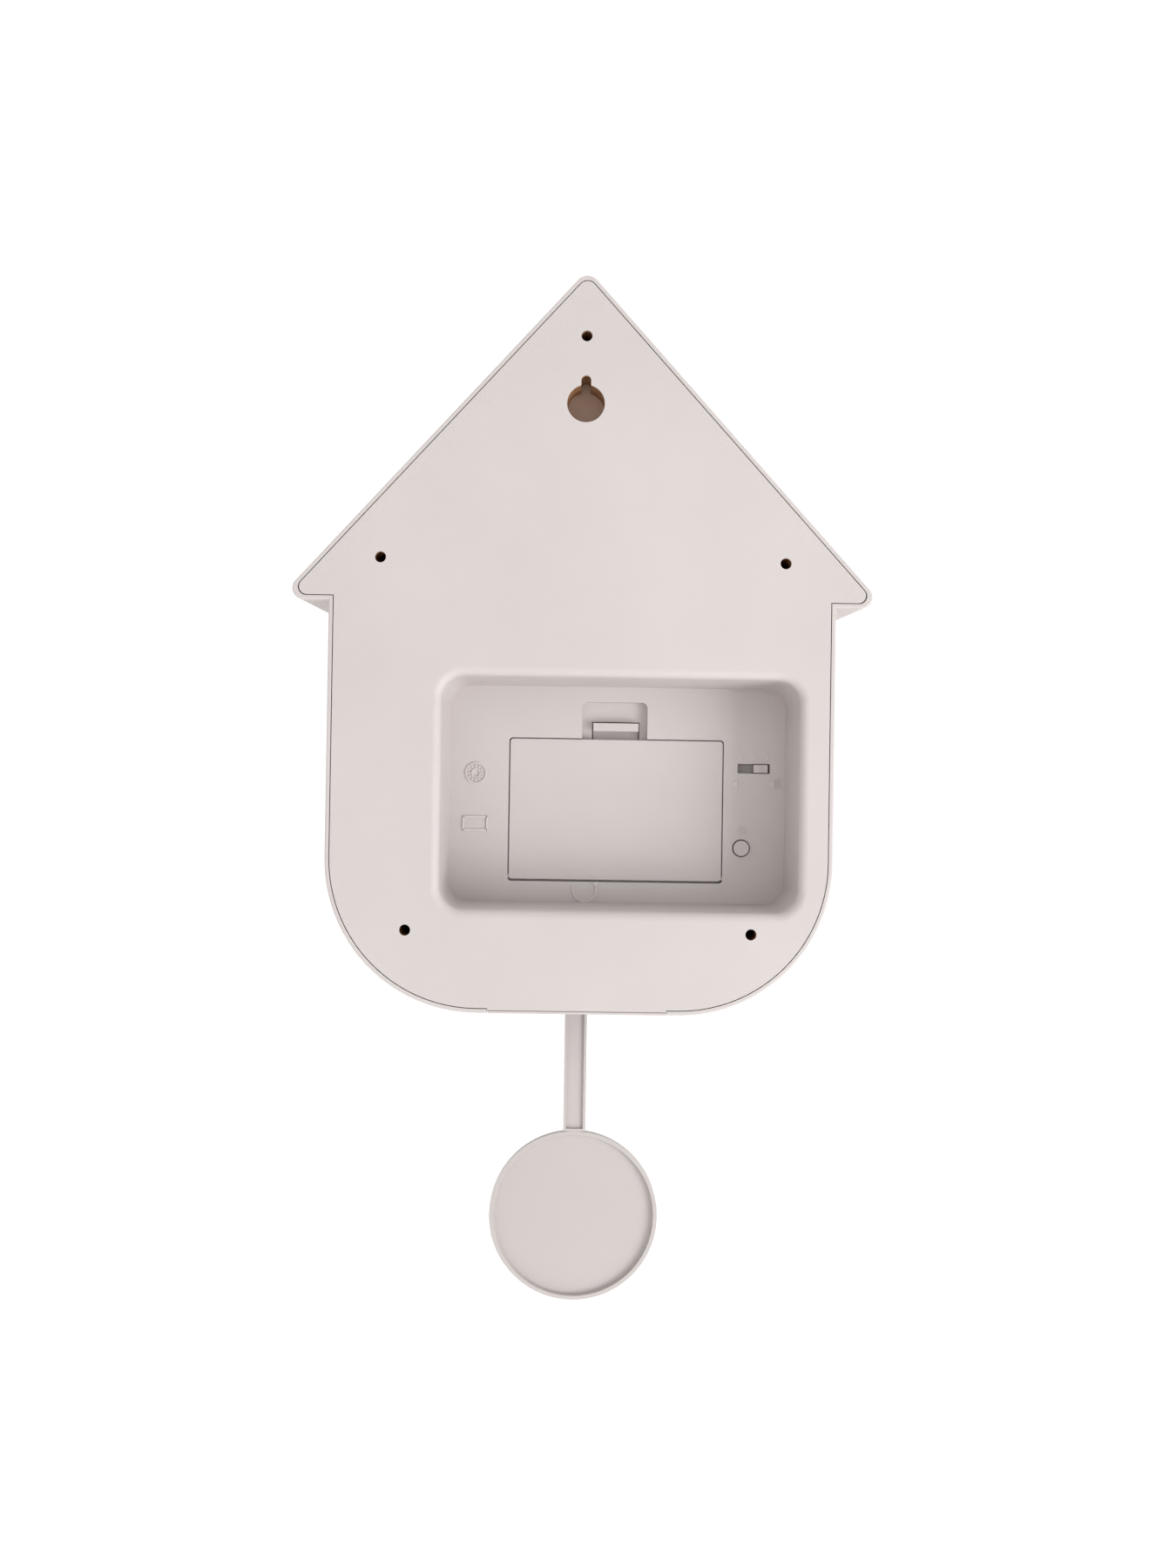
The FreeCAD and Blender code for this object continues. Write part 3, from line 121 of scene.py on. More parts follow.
def colours():
    """The scene's colour settings."""
    return bpy.context.scene.clock_colours


def sizes():
    """The scene's size settings."""
    return bpy.context.scene.clock_sizes


# ---- materials ---------------------------------------------------------------

class Nodes:
    """A small helper that adds shader nodes to one material and links them."""

    def __init__(self, name):
        self.material = bpy.data.materials.new(name)
        self.material.use_nodes = True
        self.tree = self.material.node_tree
        self.shader = self.tree.nodes["Principled BSDF"]
        self.place = self.add("ShaderNodeTexCoord").outputs["Object"]

    def add(self, kind, **values):
        """A node of a kind, with its settings."""
        made = self.tree.nodes.new(kind)
        for key, value in values.items():
            setattr(made, key, value)
        return made

    def link(self, start, end):
        """One link between two sockets."""
        self.tree.links.new(start, end)

    def stretched(self, scale):
        """Object coordinates scaled by a vector."""
        mapping = self.add("ShaderNodeMapping")
        mapping.inputs["Scale"].default_value = scale
        self.link(self.place, mapping.inputs["Vector"])
        return mapping.outputs["Vector"]

    def noise(self, scale, detail=3.0, roughness=0.55, vector=None):
        """A noise value between 0 and 1."""
        made = self.add("ShaderNodeTexNoise")
        made.inputs["Scale"].default_value = scale
        made.inputs["Detail"].default_value = detail
        made.inputs["Roughness"].default_value = roughness
        self.link(vector or self.place, made.inputs["Vector"])
        return made.outputs["Fac"]

    def ramp(self, value, stops):
        """A colour ramp: stops are (position, colour)."""
        made = self.add("ShaderNodeValToRGB")
        ramp = made.color_ramp
        while len(ramp.elements) < len(stops):
            ramp.elements.new(0.5)
        for element, (position, colour) in zip(ramp.elements, stops):
            element.position = position
            element.color = (*colour, 1.0)
        self.link(value, made.inputs["Fac"])
        return made.outputs["Color"]

    def spread(self, value, low, high):
        """A value moved from around the middle of a noise to a range."""
        made = self.add("ShaderNodeMapRange")
        made.inputs["From Min"].default_value = 0.3
        made.inputs["From Max"].default_value = 0.7
        made.inputs["To Min"].default_value = low
        made.inputs["To Max"].default_value = high
        self.link(value, made.inputs["Value"])
        return made.outputs["Result"]

    def maths(self, kind, first, second):
        """Two values, or a value and a number, put through a math node."""
        made = self.add("ShaderNodeMath", operation=kind)
        for socket, value in zip(made.inputs, (first, second)):
            if isinstance(value, float):
                socket.default_value = value
            else:
                self.link(value, socket)
        return made.outputs["Value"]

    def darkened(self, colour, centre, reach, shadow):
        """The colour swapped for a painted shadow tone inside a deep round well that runs along Y."""
        split = self.add("ShaderNodeSeparateXYZ")
        self.link(self.place, split.inputs["Vector"])
        across = self.maths("SUBTRACT", split.outputs["X"], centre[0])
        up = self.maths("SUBTRACT", split.outputs["Z"], centre[2])
        near = self.maths("ADD", self.maths("MULTIPLY", across, across), self.maths("MULTIPLY", up, up))
        inside = self.maths("LESS_THAN", near, reach * reach)
        deep = self.maths("LESS_THAN", split.outputs["Y"], centre[1])
        blend = self.add("ShaderNodeMix", data_type="RGBA")
        self.link(self.maths("MULTIPLY", inside, deep), blend.inputs["Factor"])
        self.link(colour, blend.inputs["A"])
        blend.inputs["B"].default_value = (*shadow, 1.0)
        return blend.outputs["Result"]

    def bump(self, height, strength, distance, before=None):
        """A bump that reads a height; returns its normal."""
        made = self.add("ShaderNodeBump")
        made.inputs["Strength"].default_value = strength
        made.inputs["Distance"].default_value = distance
        self.link(height, made.inputs["Height"])
        if before:
            self.link(before, made.inputs["Normal"])
        return made.outputs["Normal"]


def tone(colour, factor):
    """A colour made darker or lighter."""
    return tuple(min(1.0, channel * factor) for channel in colour)


def moulded(name, colour, rough=0.52, grain=2600.0, relief=0.16, drift=0.035, specular=0.42, painted_hollow_shades=()):
    """Injection-moulded plastic: a fine spark-eroded grain, faint flow drift and smudges, with painted
    shade and bounce tones swapped in inside the listed wells.
    """
    made = Nodes(name)
    broad = made.noise(14.0, 4.0)
    mottled = made.ramp(broad, [(0.30, tone(colour, 1.0 - drift)), (0.52, tuple(colour)),
                                (0.72, tone(colour, 1.0 + drift))])
    for hollow in painted_hollow_shades:
        mottled = made.darkened(mottled, *hollow)
    made.link(mottled, made.shader.inputs["Base Color"])
    smudge = made.noise(60.0, 5.0)
    made.link(made.spread(smudge, rough - 0.05, rough + 0.06), made.shader.inputs["Roughness"])
    fine = made.noise(grain, 2.0)
    waves = made.noise(220.0, 2.0)
    first = made.bump(waves, 0.05, 0.0002)
    made.link(made.bump(fine, relief, 0.00006, first), made.shader.inputs["Normal"])
    made.shader.inputs["Specular IOR Level"].default_value = specular
    return made.material


def metal(name, colour, rough=0.30, along=(1.0, 1.0, 1.0)):
    """Plated metal with a fine drawn grain."""
    made = Nodes(name)
    drawn = made.noise(900.0, 3.0, vector=made.stretched(along))
    cloud = made.noise(90.0, 3.0)
    made.link(made.ramp(cloud, [(0.3, tone(colour, 0.86)), (0.7, tone(colour, 1.08))]),
              made.shader.inputs["Base Color"])
    made.link(made.spread(drawn, rough - 0.07, rough + 0.10), made.shader.inputs["Roughness"])
    made.link(made.bump(drawn, 0.10, 0.00003), made.shader.inputs["Normal"])
    made.shader.inputs["Metallic"].default_value = 1.0
    return made.material


def printed_card(name, colour):
    """A dial face with a satin print and a soft paper tooth."""
    made = Nodes(name)
    fibres = made.noise(1500.0, 4.0)
    tint = made.noise(20.0, 3.0)
    made.link(made.ramp(tint, [(0.3, tone(colour, 0.975)), (0.7, tone(colour, 1.02))]),
              made.shader.inputs["Base Color"])
    made.link(made.bump(fibres, 0.10, 0.00004), made.shader.inputs["Normal"])
    made.shader.inputs["Roughness"].default_value = 0.62
    return made.material


def ink(name, colour):
    """Printing ink or painted metal, nearly black."""
    made = Nodes(name)
    speck = made.noise(700.0, 3.0)
    made.link(made.ramp(speck, [(0.3, tone(colour, 0.8)), (0.7, tone(colour, 1.5))]),
              made.shader.inputs["Base Color"])
    made.link(made.spread(speck, 0.34, 0.46), made.shader.inputs["Roughness"])
    made.link(made.bump(speck, 0.06, 0.00003), made.shader.inputs["Normal"])
    return made.material


def cell_film(name):
    """The shrink film of a dry cell: a dark body with a warm band at one end."""
    made = Nodes(name)
    split = made.add("ShaderNodeSeparateXYZ")
    made.link(made.place, split.inputs["Vector"])
    low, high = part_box("battery_cell_upper")
    run = made.add("ShaderNodeMapRange")
    run.inputs["From Min"].default_value = low.x
    run.inputs["From Max"].default_value = high.x
    made.link(split.outputs["X"], run.inputs["Value"])
    dark = (0.012, 0.014, 0.018)
    warm = (0.52, 0.20, 0.06)
    silver = (0.55, 0.55, 0.55)
    bands = made.ramp(run.outputs["Result"], [(0.0, silver), (0.035, dark), (0.30, dark), (0.305, warm)])
    made.link(bands, made.shader.inputs["Base Color"])
    film = made.noise(300.0, 3.0)
    made.link(made.bump(film, 0.04, 0.00005), made.shader.inputs["Normal"])
    made.shader.inputs["Roughness"].default_value = 0.24
    made.shader.inputs["Metallic"].default_value = 0.35
    return made.material


def circuit_board(name):
    """Green solder mask over faint copper tracks."""
    made = Nodes(name)
    tracks = made.add("ShaderNodeTexBrick")
    tracks.inputs["Scale"].default_value = 260.0
    tracks.inputs["Mortar Size"].default_value = 0.05
    tracks.inputs["Color1"].default_value = (0.010, 0.085, 0.035, 1.0)
    tracks.inputs["Color2"].default_value = (0.012, 0.100, 0.045, 1.0)
    tracks.inputs["Mortar"].default_value = (0.030, 0.190, 0.080, 1.0)
    made.link(made.stretched((1.0, 1.0, 0.55)), tracks.inputs["Vector"])
    made.link(tracks.outputs["Color"], made.shader.inputs["Base Color"])
    made.link(made.bump(tracks.outputs["Fac"], 0.12, 0.00004), made.shader.inputs["Normal"])
    made.shader.inputs["Roughness"].default_value = 0.32
    return made.material


def enamelled_wire(name, colour):
    """Fine winding wire laid side by side."""
    made = Nodes(name)
    turns = made.add("ShaderNodeTexWave", wave_type="BANDS", bands_direction="X")
    turns.inputs["Scale"].default_value = 900.0
    turns.inputs["Distortion"].default_value = 0.6
    made.link(made.place, turns.inputs["Vector"])
    made.link(made.ramp(turns.outputs["Fac"], [(0.0, tone(colour, 0.45)), (1.0, tuple(colour))]),
              made.shader.inputs["Base Color"])
    made.link(made.bump(turns.outputs["Fac"], 0.35, 0.00005), made.shader.inputs["Normal"])
    made.shader.inputs["Roughness"].default_value = 0.30
    made.shader.inputs["Metallic"].default_value = 0.8
    return made.material


def painted(name, colour, rough=0.42):
    """Hand-painted plastic with faint brush drag."""
    made = Nodes(name)
    drag = made.noise(500.0, 4.0, vector=made.stretched((1.0, 0.3, 1.0)))
    made.link(made.ramp(drag, [(0.3, tone(colour, 0.93)), (0.7, tone(colour, 1.05))]),
              made.shader.inputs["Base Color"])
    made.link(made.bump(drag, 0.14, 0.00008), made.shader.inputs["Normal"])
    made.link(made.spread(drag, rough - 0.06, rough + 0.08), made.shader.inputs["Roughness"])
    return made.material


def studio_paper(name, colour):
    """The plain pale floor and backdrop."""
    made = Nodes(name)
    tooth = made.noise(40.0, 3.0)
    made.link(made.ramp(tooth, [(0.3, tone(colour, 0.995)), (0.7, tone(colour, 1.0))]),
              made.shader.inputs["Base Color"])
    made.shader.inputs["Roughness"].default_value = 0.9
    made.shader.inputs["Specular IOR Level"].default_value = 0.1
    return made.material


FINISHES = {}


def make_finishes():
    """One material for each slot of the record, and a few for the added pieces."""
    pick = colours()
    # Painted shade inside the keyhole and the screw wells: dark brown on their walls, and a lighter warm
    # tone for the light and bounce on the keyhole floor.
    painted_hollow_shades = [((0.0, -0.0005, KEYHOLE_Z), KEYHOLE_SHADE_REACH, pick.hollow),
               ((0.0, -0.0114, KEYHOLE_Z), KEYHOLE_SHADE_REACH, pick.keyhole_floor)]
    painted_hollow_shades += [((x, -0.0012, z), WELL_SHADE_REACH, pick.hollow) for x, z in SCREW_PLACES]
    FINISHES.update({
        "case_plastic": moulded("Case plastic", pick.case),
        "cover": moulded("Cover plastic with painted well shade", pick.case, painted_hollow_shades=painted_hollow_shades),
        # Painted highlight: the marks are a lighter tone of the case colour, standing in for the light that
        # their relief catches; the lower roughness is their own finish.
        "raised_painted_highlight": moulded("Relief marks with painted highlight", tone(pick.case, 1.16), rough=0.34, relief=0.03),
        "pendulum_plastic": moulded("Pendulum plastic", pick.pendulum, rough=0.46, drift=0.025),
        "door_plastic": moulded("Front trim plastic", tone(pick.case, 0.93), rough=0.48),
        "dial_face": printed_card("Dial print", pick.dial),
        "dark_plastic": ink("Black plastic", pick.ink),
        "white_gear": moulded("Acetal", (0.78, 0.77, 0.72), rough=0.38, relief=0.06),
        "steel": metal("Plated steel", (0.56, 0.56, 0.57)),
        "magnet": metal("Magnet", (0.08, 0.08, 0.085), rough=0.42),
        "copper_wire": enamelled_wire("Winding wire", (0.62, 0.22, 0.08)),
        "board": circuit_board("Circuit board"),
        "cell_wrap": cell_film("Cell film"),
        "bird_white": painted("Bird paint", pick.bird),
        "beak_orange": painted("Beak paint", pick.beak),
        "eye_black": ink("Eye black", (0.006, 0.006, 0.007)),
        "studio": studio_paper("Studio paper", pick.studio),
    })


def dress_nodes():
    """Give every carried-over CAD node the finish of its slot."""
    for part in frame["record"]["subparts"]:
        thing = frame["nodes"][part["node"]]
        # The rear cover gets the case plastic with painted shade in its keyhole and screw wells.
        finish = FINISHES["cover" if part["node"] == "rear_cover" else part["material_slot"]]
        if not thing.material_slots:
            thing.data.materials.append(finish)
        for place in thing.material_slots:
            place.material = finish


# ---- modelling helpers ---------------------------------------------------------

def clear_selection():
    """Leave nothing selected and no object active."""
    if bpy.context.object and bpy.context.object.mode != "OBJECT":
        bpy.ops.object.mode_set(mode="OBJECT")
    for thing in bpy.context.selected_objects:
        thing.select_set(False)
    bpy.context.view_layer.objects.active = None


def only(thing):
    """Select one object and make it active."""
    clear_selection()
    thing.select_set(True)
    bpy.context.view_layer.objects.active = thing
    return thing


def named(name):
    """Name the object that an operator just added, with its mesh."""
    thing = bpy.context.object
    thing.name = name
    thing.data.name = name
    return thing


def joined(things, name):
    """Join several objects into one."""
    clear_selection()
    for thing in things:
        thing.select_set(True)
    bpy.context.view_layer.objects.active = things[0]
    if len(things) > 1:
        bpy.ops.object.join()
    return named(name)


def settle(thing):
    """Put the object at the origin, unturned and unscaled, with its place in its mesh."""
    only(thing)
    bpy.ops.object.transform_apply(location=True, rotation=True, scale=True)
    return thing


def outward(thing):
    """Merge doubles and point all faces outwards."""
    only(thing)
    bpy.ops.object.mode_set(mode="EDIT")
    bpy.ops.mesh.select_all(action="SELECT")
    bpy.ops.mesh.remove_doubles(threshold=1e-7)
    bpy.ops.mesh.normals_make_consistent(inside=False)
    bpy.ops.object.mode_set(mode="OBJECT")
    return thing


def finish_piece(thing, body, slot, angle=35.0, finish=None):
    """Smooth, colour and attach a finished piece."""
    settle(thing)
    bpy.ops.object.shade_smooth_by_angle(angle=math.radians(angle))
    thing.data.materials.clear()
    thing.data.materials.append(FINISHES[finish or slot])
    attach(thing, body)
    clear_selection()
    return thing


# Text turned to be read from the front, which is -Y.
READ_FROM_FRONT = (math.radians(90), 0.0, 0.0)


def bar(centre, wide, tall, thick):
    """A small block facing front or back."""
    bpy.ops.mesh.primitive_cube_add(size=1.0, location=centre)
    block = bpy.context.object
    block.scale = (wide, thick, tall)
    bpy.ops.object.transform_apply(location=False, rotation=False, scale=True)
    return block


def arc_stroke(centre, radius, start, end, wide, thick, steps=32):
    """A flat curved stroke in the XZ plane between two angles, measured from +X to +Z."""
    profile = bmesh.new()
    count = max(3, int(steps * abs(end - start) / 360.0) + 2)
    inner = radius - wide / 2
    outer = radius + wide / 2
    slope = wide * 0.2
    rows = []
    for index in range(count):
        angle = math.radians(start + (end - start) * index / (count - 1))
        row = []
        for reach, depth in ((inner, -thick / 2), (outer, -thick / 2),
                             (outer - slope, thick / 2), (inner + slope, thick / 2)):
            row.append(profile.verts.new((centre[0] + reach * math.cos(angle), centre[1] + depth,
                                          centre[2] + reach * math.sin(angle))))
        rows.append(row)
    closed = abs(abs(end - start) - 360.0) < 1e-6
    for index in range(count - 1):
        for side in range(4):
            other = (side + 1) % 4
            near, far = rows[index], rows[index + 1]
            profile.faces.new((near[side], near[other], far[other], far[side]))
    if not closed:
        profile.faces.new(rows[0][::-1])
        profile.faces.new(rows[-1])
    mesh = bpy.data.meshes.new("stroke")
    profile.to_mesh(mesh)
    profile.free()
    thing = bpy.data.objects.new("stroke", mesh)
    bpy.context.scene.collection.objects.link(thing)
    return outward(thing)


def turned_about(thing, centre, angle):
    """Turn an object about a Y axis through a point."""
    spin = Matrix.Translation(centre) @ Matrix.Rotation(angle, 4, "Y") @ Matrix.Translation(-Vector(centre))
    thing.data.transform(spin)
    thing.data.update()
    return thing


# ---- pieces ----------------------------------------------------------------------

class CLOCK_OT_finishes(bpy.types.Operator):
    """Make the materials and dress every CAD node with them"""
    bl_idname = "clock.finishes"
    bl_label = "Materials"

    def execute(self, context):
        make_finishes()
        dress_nodes()
        return {"FINISHED"}


class CLOCK_OT_dial_print(bpy.types.Operator):
    """Numerals and minute track on the dial"""
    bl_idname = "clock.dial_print"
    bl_label = "Dial print"

    def execute(self, context):
        self.numerals()
        self.track()
        return {"FINISHED"}

    def numerals(self):
        """Twelve upright numerals inside the hour marks."""
        pick = sizes()
        centre = middle_of("dial_plate")
        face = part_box("dial_plate")[0].y
        made = []
        for hour in range(1, 13):
            angle = math.radians(30 * hour)
            x = centre.x + pick.numeral_ring * math.sin(angle)
            z = centre.z + pick.numeral_ring * math.cos(angle)
            clear_selection()
            bpy.ops.object.text_add(location=(x, face, z), rotation=READ_FROM_FRONT)
            words = bpy.context.object
            words.data.body = str(hour)
            words.data.align_x = "CENTER"
            words.data.align_y = "CENTER"
            words.data.size = pick.numeral
            words.data.extrude = pick.print_thick / 2
            words.data.resolution_u = 6
            bpy.ops.object.convert(target="MESH")
            words = bpy.context.object
            low = Vector([min((words.matrix_world @ Vector(corner))[axis] for corner in words.bound_box)
                          for axis in range(3)])
            high = Vector([max((words.matrix_world @ Vector(corner))[axis] for corner in words.bound_box)
                           for axis in range(3)])
            words.location.x += x - (low.x + high.x) / 2
            words.location.z += z - (low.z + high.z) / 2
            made.append(words)
        finish_piece(outward(joined(made, "dial_numerals")), "case", "dark_plastic")

    def track(self):
        """A ring with sixty minute strokes at the edge of the dial."""
        pick = sizes()
        centre = middle_of("dial_plate")
        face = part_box("dial_plate")[0].y
        marks = []
        for minute in range(60):
            if minute % 5:
                top = centre.z + pick.minute_ring
                stroke = bar((centre.x, face, top - 0.0009), 0.0003, 0.0018, pick.print_thick)
                settle(stroke)
                marks.append(turned_about(stroke, centre, math.radians(6 * minute)))
        ring = arc_stroke((centre.x, face, centre.z), pick.minute_ring + 0.0002, 0, 360, 0.00035,
                          pick.print_thick, steps=180)
        finish_piece(joined(marks + [ring], "minute_track"), "case", "dark_plastic")


class CLOCK_OT_moulded_marks(bpy.types.Operator):
    """Raised marks moulded into the recess floor and the rear of the case"""
    bl_idname = "clock.moulded_marks"
    bl_label = "Moulded marks"

    def execute(self, context):
        pick = sizes()
        low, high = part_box("battery_door")
        floor = high.y
        self.turning_arrow((middle_of("set_knob").x - 0.0022, floor, low.z - 0.0034), pick)
        self.sound_icons(floor, pick)
        self.dots(floor, pick)
        self.blank_marks(floor, pick)
        return {"FINISHED"}

    def turning_arrow(self, centre, pick):
        """The open ring with an arrowhead that shows which way the set knob turns."""
        radius = 0.0039
        tip = math.radians(160)
        ring = arc_stroke(centre, radius, 160, 380, 0.0008, pick.relief * 2)
        clear_selection()
        bpy.ops.mesh.primitive_cone_add(vertices=3, radius1=0.0013, radius2=0.0011, depth=pick.relief * 2,
                                        location=(centre[0] + radius * math.cos(tip), centre[1],
                                                  centre[2] + radius * math.sin(tip) + 0.0007),
                                        rotation=(math.radians(-90), math.radians(20), 0.0))
        head = bpy.context.object
        finish_piece(joined([ring, head], "setting_arrow"), "case", "case_plastic", finish="raised_painted_highlight")

    def speaker_icon(self, x, z, floor, waves, pick):
        """A small loudspeaker sign that opens towards the viewer's right, with sound waves."""
        deep = pick.relief * 2
        parts = [bar((x + 0.0009, floor, z), 0.0007, 0.0010, deep)]
        profile = bmesh.new()
        outline = ((0.0006, 0.0005), (-0.0004, 0.0014), (-0.0004, -0.0014), (0.0006, -0.0005))
        rear = [profile.verts.new((x + across, floor + pick.relief, z + up)) for across, up in outline]
        front = [profile.verts.new((x + across, floor - pick.relief, z + up)) for across, up in outline]
        profile.faces.new(rear)
        profile.faces.new(front[::-1])
        for index in range(4):
            other = (index + 1) % 4
            profile.faces.new((rear[index], front[index], front[other], rear[other]))
        mesh = bpy.data.meshes.new("horn")
        profile.to_mesh(mesh)
        profile.free()
        horn = bpy.data.objects.new("horn", mesh)
        bpy.context.scene.collection.objects.link(horn)
        parts.append(outward(horn))
        for step in range(waves):
            parts.append(arc_stroke((x, floor, z), 0.0012 + 0.0008 * step, 135, 225, 0.0004, deep))
        return parts

    def sound_icons(self, floor, pick):
        """Quiet and loud signs under the two ends of the volume slot."""
        low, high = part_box("slide_switch")
        level = middle_of("volume_knob").z - 0.0052
        parts = self.speaker_icon(high.x - 0.0004, level, floor, 0, pick)
        parts += self.speaker_icon(low.x, level, floor, 2, pick)
        finish_piece(outward(joined(parts, "volume_signs")), "case", "case_plastic", finish="raised_painted_highlight")

    def dots(self, floor, pick):
        """Three small travel marks over the volume slot and one beside the button."""
        knob = middle_of("volume_knob")
        low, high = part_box("slide_switch")
        parts = []
        for share in (0.15, 0.5, 0.85):
            x = low.x + share * (high.x - low.x)
            parts.append(bar((x, floor, knob.z + 0.0036), 0.0005, 0.0012, pick.relief * 2))
        button = middle_of("set_button")
        above = (button.x, floor, button.z + 0.0062)
        parts.append(arc_stroke(above, 0.0011, 0, 360, 0.0004, pick.relief * 2))
        finish_piece(joined(parts, "switch_marks"), "case", "case_plastic", finish="raised_painted_highlight")

    def blank_marks(self, floor, pick):
        """Plain moulding marks: a date ring with twelve ticks and an inner ring, and a plain lozenge."""
        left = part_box("battery_door")[1].x + 0.0105
        upper = middle_of("battery_door").z + 0.0090
        ring = arc_stroke((left, floor, upper), 0.0034, 0, 360, 0.0005, pick.relief * 2, steps=48)
        inner = arc_stroke((left, floor, upper), 0.0014, 0, 360, 0.0004, pick.relief * 2, steps=32)
        parts = [ring, inner]
        for turn in range(0, 360, 30):
            tick = bar((left, floor, upper + 0.0024), 0.0004, 0.0008, pick.relief * 2)
            settle(tick)
            parts.append(turned_about(tick, Vector((left, floor, upper)), math.radians(turn)))
        lower = middle_of("battery_door").z - 0.0080
        for side in (-1, 1):
            parts.append(bar((left, floor, lower + side * 0.0022), 0.0080, 0.0005, pick.relief * 2))
            parts.append(bar((left + side * 0.0040, floor, lower), 0.0005, 0.0049, pick.relief * 2))
        finish_piece(joined(parts, "moulding_marks"), "case", "case_plastic", finish="raised_painted_highlight")


class CLOCK_OT_pendulum_marks(bpy.types.Operator):
    """The ejector ring on the rod and the soft-edged front of the bob"""
    bl_idname = "clock.pendulum_marks"
    bl_label = "Pendulum marks"

    def execute(self, context):
        pick = sizes()
        low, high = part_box("pendulum_disc")
        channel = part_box("pendulum_rod")[1].y - 0.0017
        ring = arc_stroke((0.0, channel, high.z + 0.0043), 0.0016, 0, 360, 0.0002, pick.relief, steps=40)
        finish_piece(joined([ring], "ejector_ring"), "pendulum_group", "pendulum_plastic")
        centre = middle_of("pendulum_disc")
        clear_selection()
        bpy.ops.mesh.primitive_cylinder_add(vertices=160, radius=0.0272, depth=0.0024,
                                            location=(centre.x, low.y - 0.0010, centre.z),
                                            rotation=(math.radians(90), 0.0, 0.0))
        bob = settle(bpy.context.object)
        only(bob)
        bpy.ops.object.modifier_add(type="BEVEL")
        soft = bob.modifiers[-1]
        soft.width = 0.0009
        soft.segments = 4
        soft.limit_method = "ANGLE"
        soft.angle_limit = math.radians(40)
        bpy.ops.object.modifier_apply(modifier=soft.name)
        finish_piece(joined([bob], "bob_front"), "pendulum_group", "pendulum_plastic")
        return {"FINISHED"}


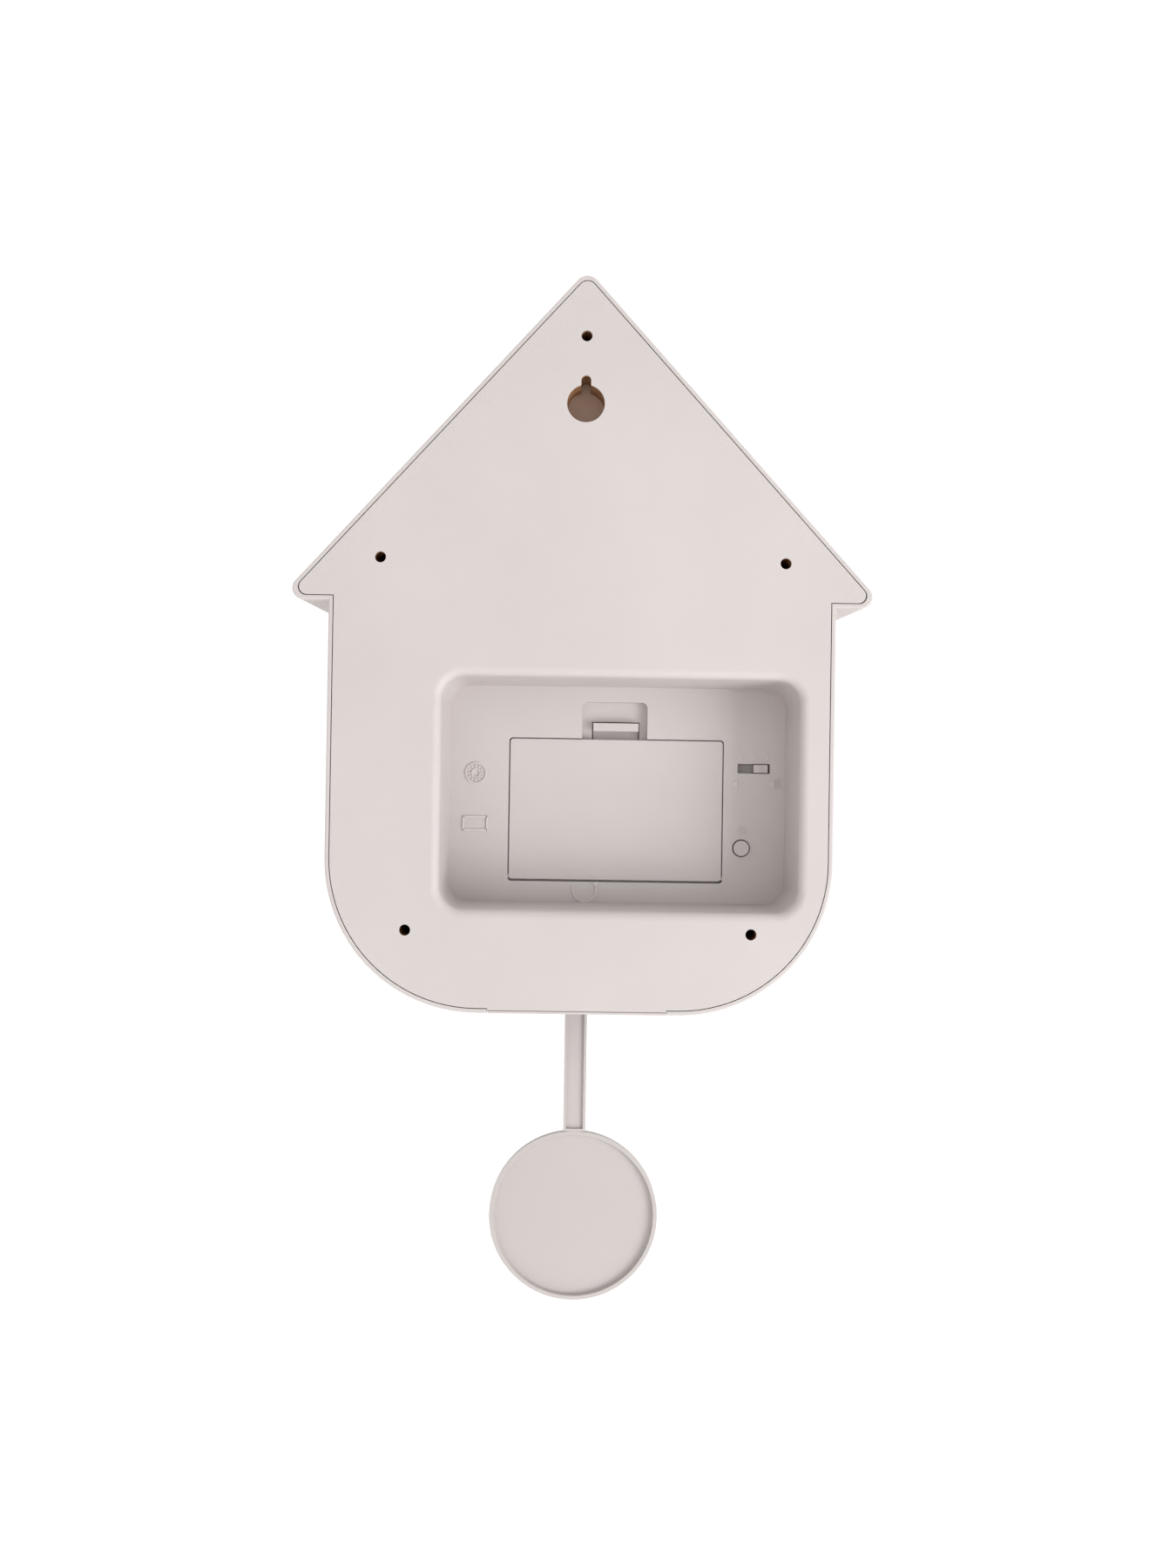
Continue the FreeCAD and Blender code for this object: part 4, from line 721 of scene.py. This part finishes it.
class CLOCK_OT_studio(bpy.types.Operator):
    """Floor, backdrop, lights and camera"""
    bl_idname = "clock.studio"
    bl_label = "Studio"

    def execute(self, context):
        self.floor()
        self.surround()
        self.lights()
        self.camera()
        return {"FINISHED"}

    def floor(self):
        """A large pale floor below the pendulum."""
        low = CAD_BOX[0]
        clear_selection()
        bpy.ops.mesh.primitive_plane_add(size=60.0, location=(0.0, 0.0, low[2] - sizes().floor_drop))
        ground = named("studio_floor")
        ground.data.materials.append(FINISHES["studio"])

    def surround(self):
        """A surround that is white near the horizon and dimmer and warmer overhead."""
        world = bpy.data.worlds.new("Studio")
        world.use_nodes = True
        tree = world.node_tree
        place = tree.nodes.new("ShaderNodeTexCoord")
        split = tree.nodes.new("ShaderNodeSeparateXYZ")
        blend = tree.nodes.new("ShaderNodeValToRGB")
        blend.color_ramp.elements[0].position = 0.52
        blend.color_ramp.elements[0].color = (*HORIZON, 1.0)
        blend.color_ramp.elements[1].position = 0.72
        blend.color_ramp.elements[1].color = (*CEILING, 1.0)
        tree.links.new(place.outputs["Generated"], split.inputs["Vector"])
        tree.links.new(split.outputs["Z"], blend.inputs["Fac"])
        tree.links.new(blend.outputs["Color"], tree.nodes["Background"].inputs["Color"])
        tree.nodes["Background"].inputs["Strength"].default_value = WORLD_STRENGTH
        bpy.context.scene.world = world
        bpy.context.scene.view_settings.view_transform = "Standard"

    def lights(self):
        """A soft key low at the viewer's right, a front key and an overhead wash."""
        clear_selection()
        bpy.ops.object.light_add(type="SUN", location=(0.0, 0.0, 2.0))
        wash = bpy.context.object
        wash.name = "overhead"
        wash.data.energy = OVERHEAD_SUN
        wash.data.angle = math.radians(50)
        aim = Vector((0.0, 0.0, -0.13))
        for name, place, wide, power, colour in STUDIO_LIGHTS:
            clear_selection()
            bpy.ops.object.light_add(type="AREA", location=place)
            light = bpy.context.object
            light.name = name
            light.data.shape = "SQUARE"
            light.data.size = wide
            light.data.energy = power
            light.data.color = colour
            light.rotation_euler = (aim - Vector(place)).to_track_quat("-Z", "Y").to_euler()

    def camera(self):
        """Behind the clock, level with the recess, as a person sees its back."""
        eye = Vector((0.0044, 0.520, -0.136))
        aim = Vector((-0.0025, 0.0, -0.1303))
        clear_selection()
        bpy.ops.object.camera_add(location=eye)
        viewer = bpy.context.object
        viewer.name = "viewer"
        viewer.data.lens = 37.1
        viewer.data.sensor_width = 36.0
        look = (aim - eye).to_track_quat("-Z", "Y")
        roll = Matrix.Rotation(math.radians(CAMERA_ROLL), 4, "Z")
        viewer.matrix_world = Matrix.Translation(eye) @ look.to_matrix().to_4x4() @ roll
        bpy.context.scene.camera = viewer


WORLD_STRENGTH = 1.05
HORIZON = (1.0, 1.0, 1.0)
CEILING = (0.30, 0.27, 0.245)
OVERHEAD_SUN = 1.7
CAMERA_ROLL = 0.87
STUDIO_LIGHTS = (
    ("key", (-1.05, 0.80, -0.58), 0.75, 13.5, (0.98, 1.0, 1.01)),
    ("front_key", (-0.8, -1.3, 0.6), 1.2, 3.0, (1.0, 1.0, 1.0)),
)


class CLOCK_PT_panel(bpy.types.Panel):
    """Lists the steps that dress the clock"""
    bl_idname = "CLOCK_PT_panel"
    bl_label = "Cuckoo clock"
    bl_space_type = "VIEW_3D"
    bl_region_type = "UI"
    bl_category = "Clock"

    def draw(self, context):
        for step in STEPS:
            self.layout.operator(step.bl_idname)
        for group in (context.scene.clock_sizes, context.scene.clock_colours):
            for key in group.__annotations__:
                self.layout.prop(group, key)


STEPS = (
    CLOCK_OT_finishes,
    CLOCK_OT_dial_print,
    CLOCK_OT_moulded_marks,
    CLOCK_OT_pendulum_marks,
    CLOCK_OT_studio,
)
CLASSES = (ClockColours, ClockSizes) + STEPS + (CLOCK_PT_panel,)


def register():
    """Register the settings, the operators and the panel."""
    for kind in CLASSES:
        bpy.utils.register_class(kind)
    bpy.types.Scene.clock_colours = PointerProperty(type=ClockColours)
    bpy.types.Scene.clock_sizes = PointerProperty(type=ClockSizes)


def unregister():
    """Take them away again."""
    del bpy.types.Scene.clock_sizes
    del bpy.types.Scene.clock_colours
    for kind in reversed(CLASSES):
        bpy.utils.unregister_class(kind)


def main():
    """Build everything in order."""
    register()
    bpy.ops.clock.finishes()
    bpy.ops.clock.dial_print()
    bpy.ops.clock.moulded_marks()
    bpy.ops.clock.pendulum_marks()
    bpy.ops.clock.studio()


if __name__ == "__main__":
    main()
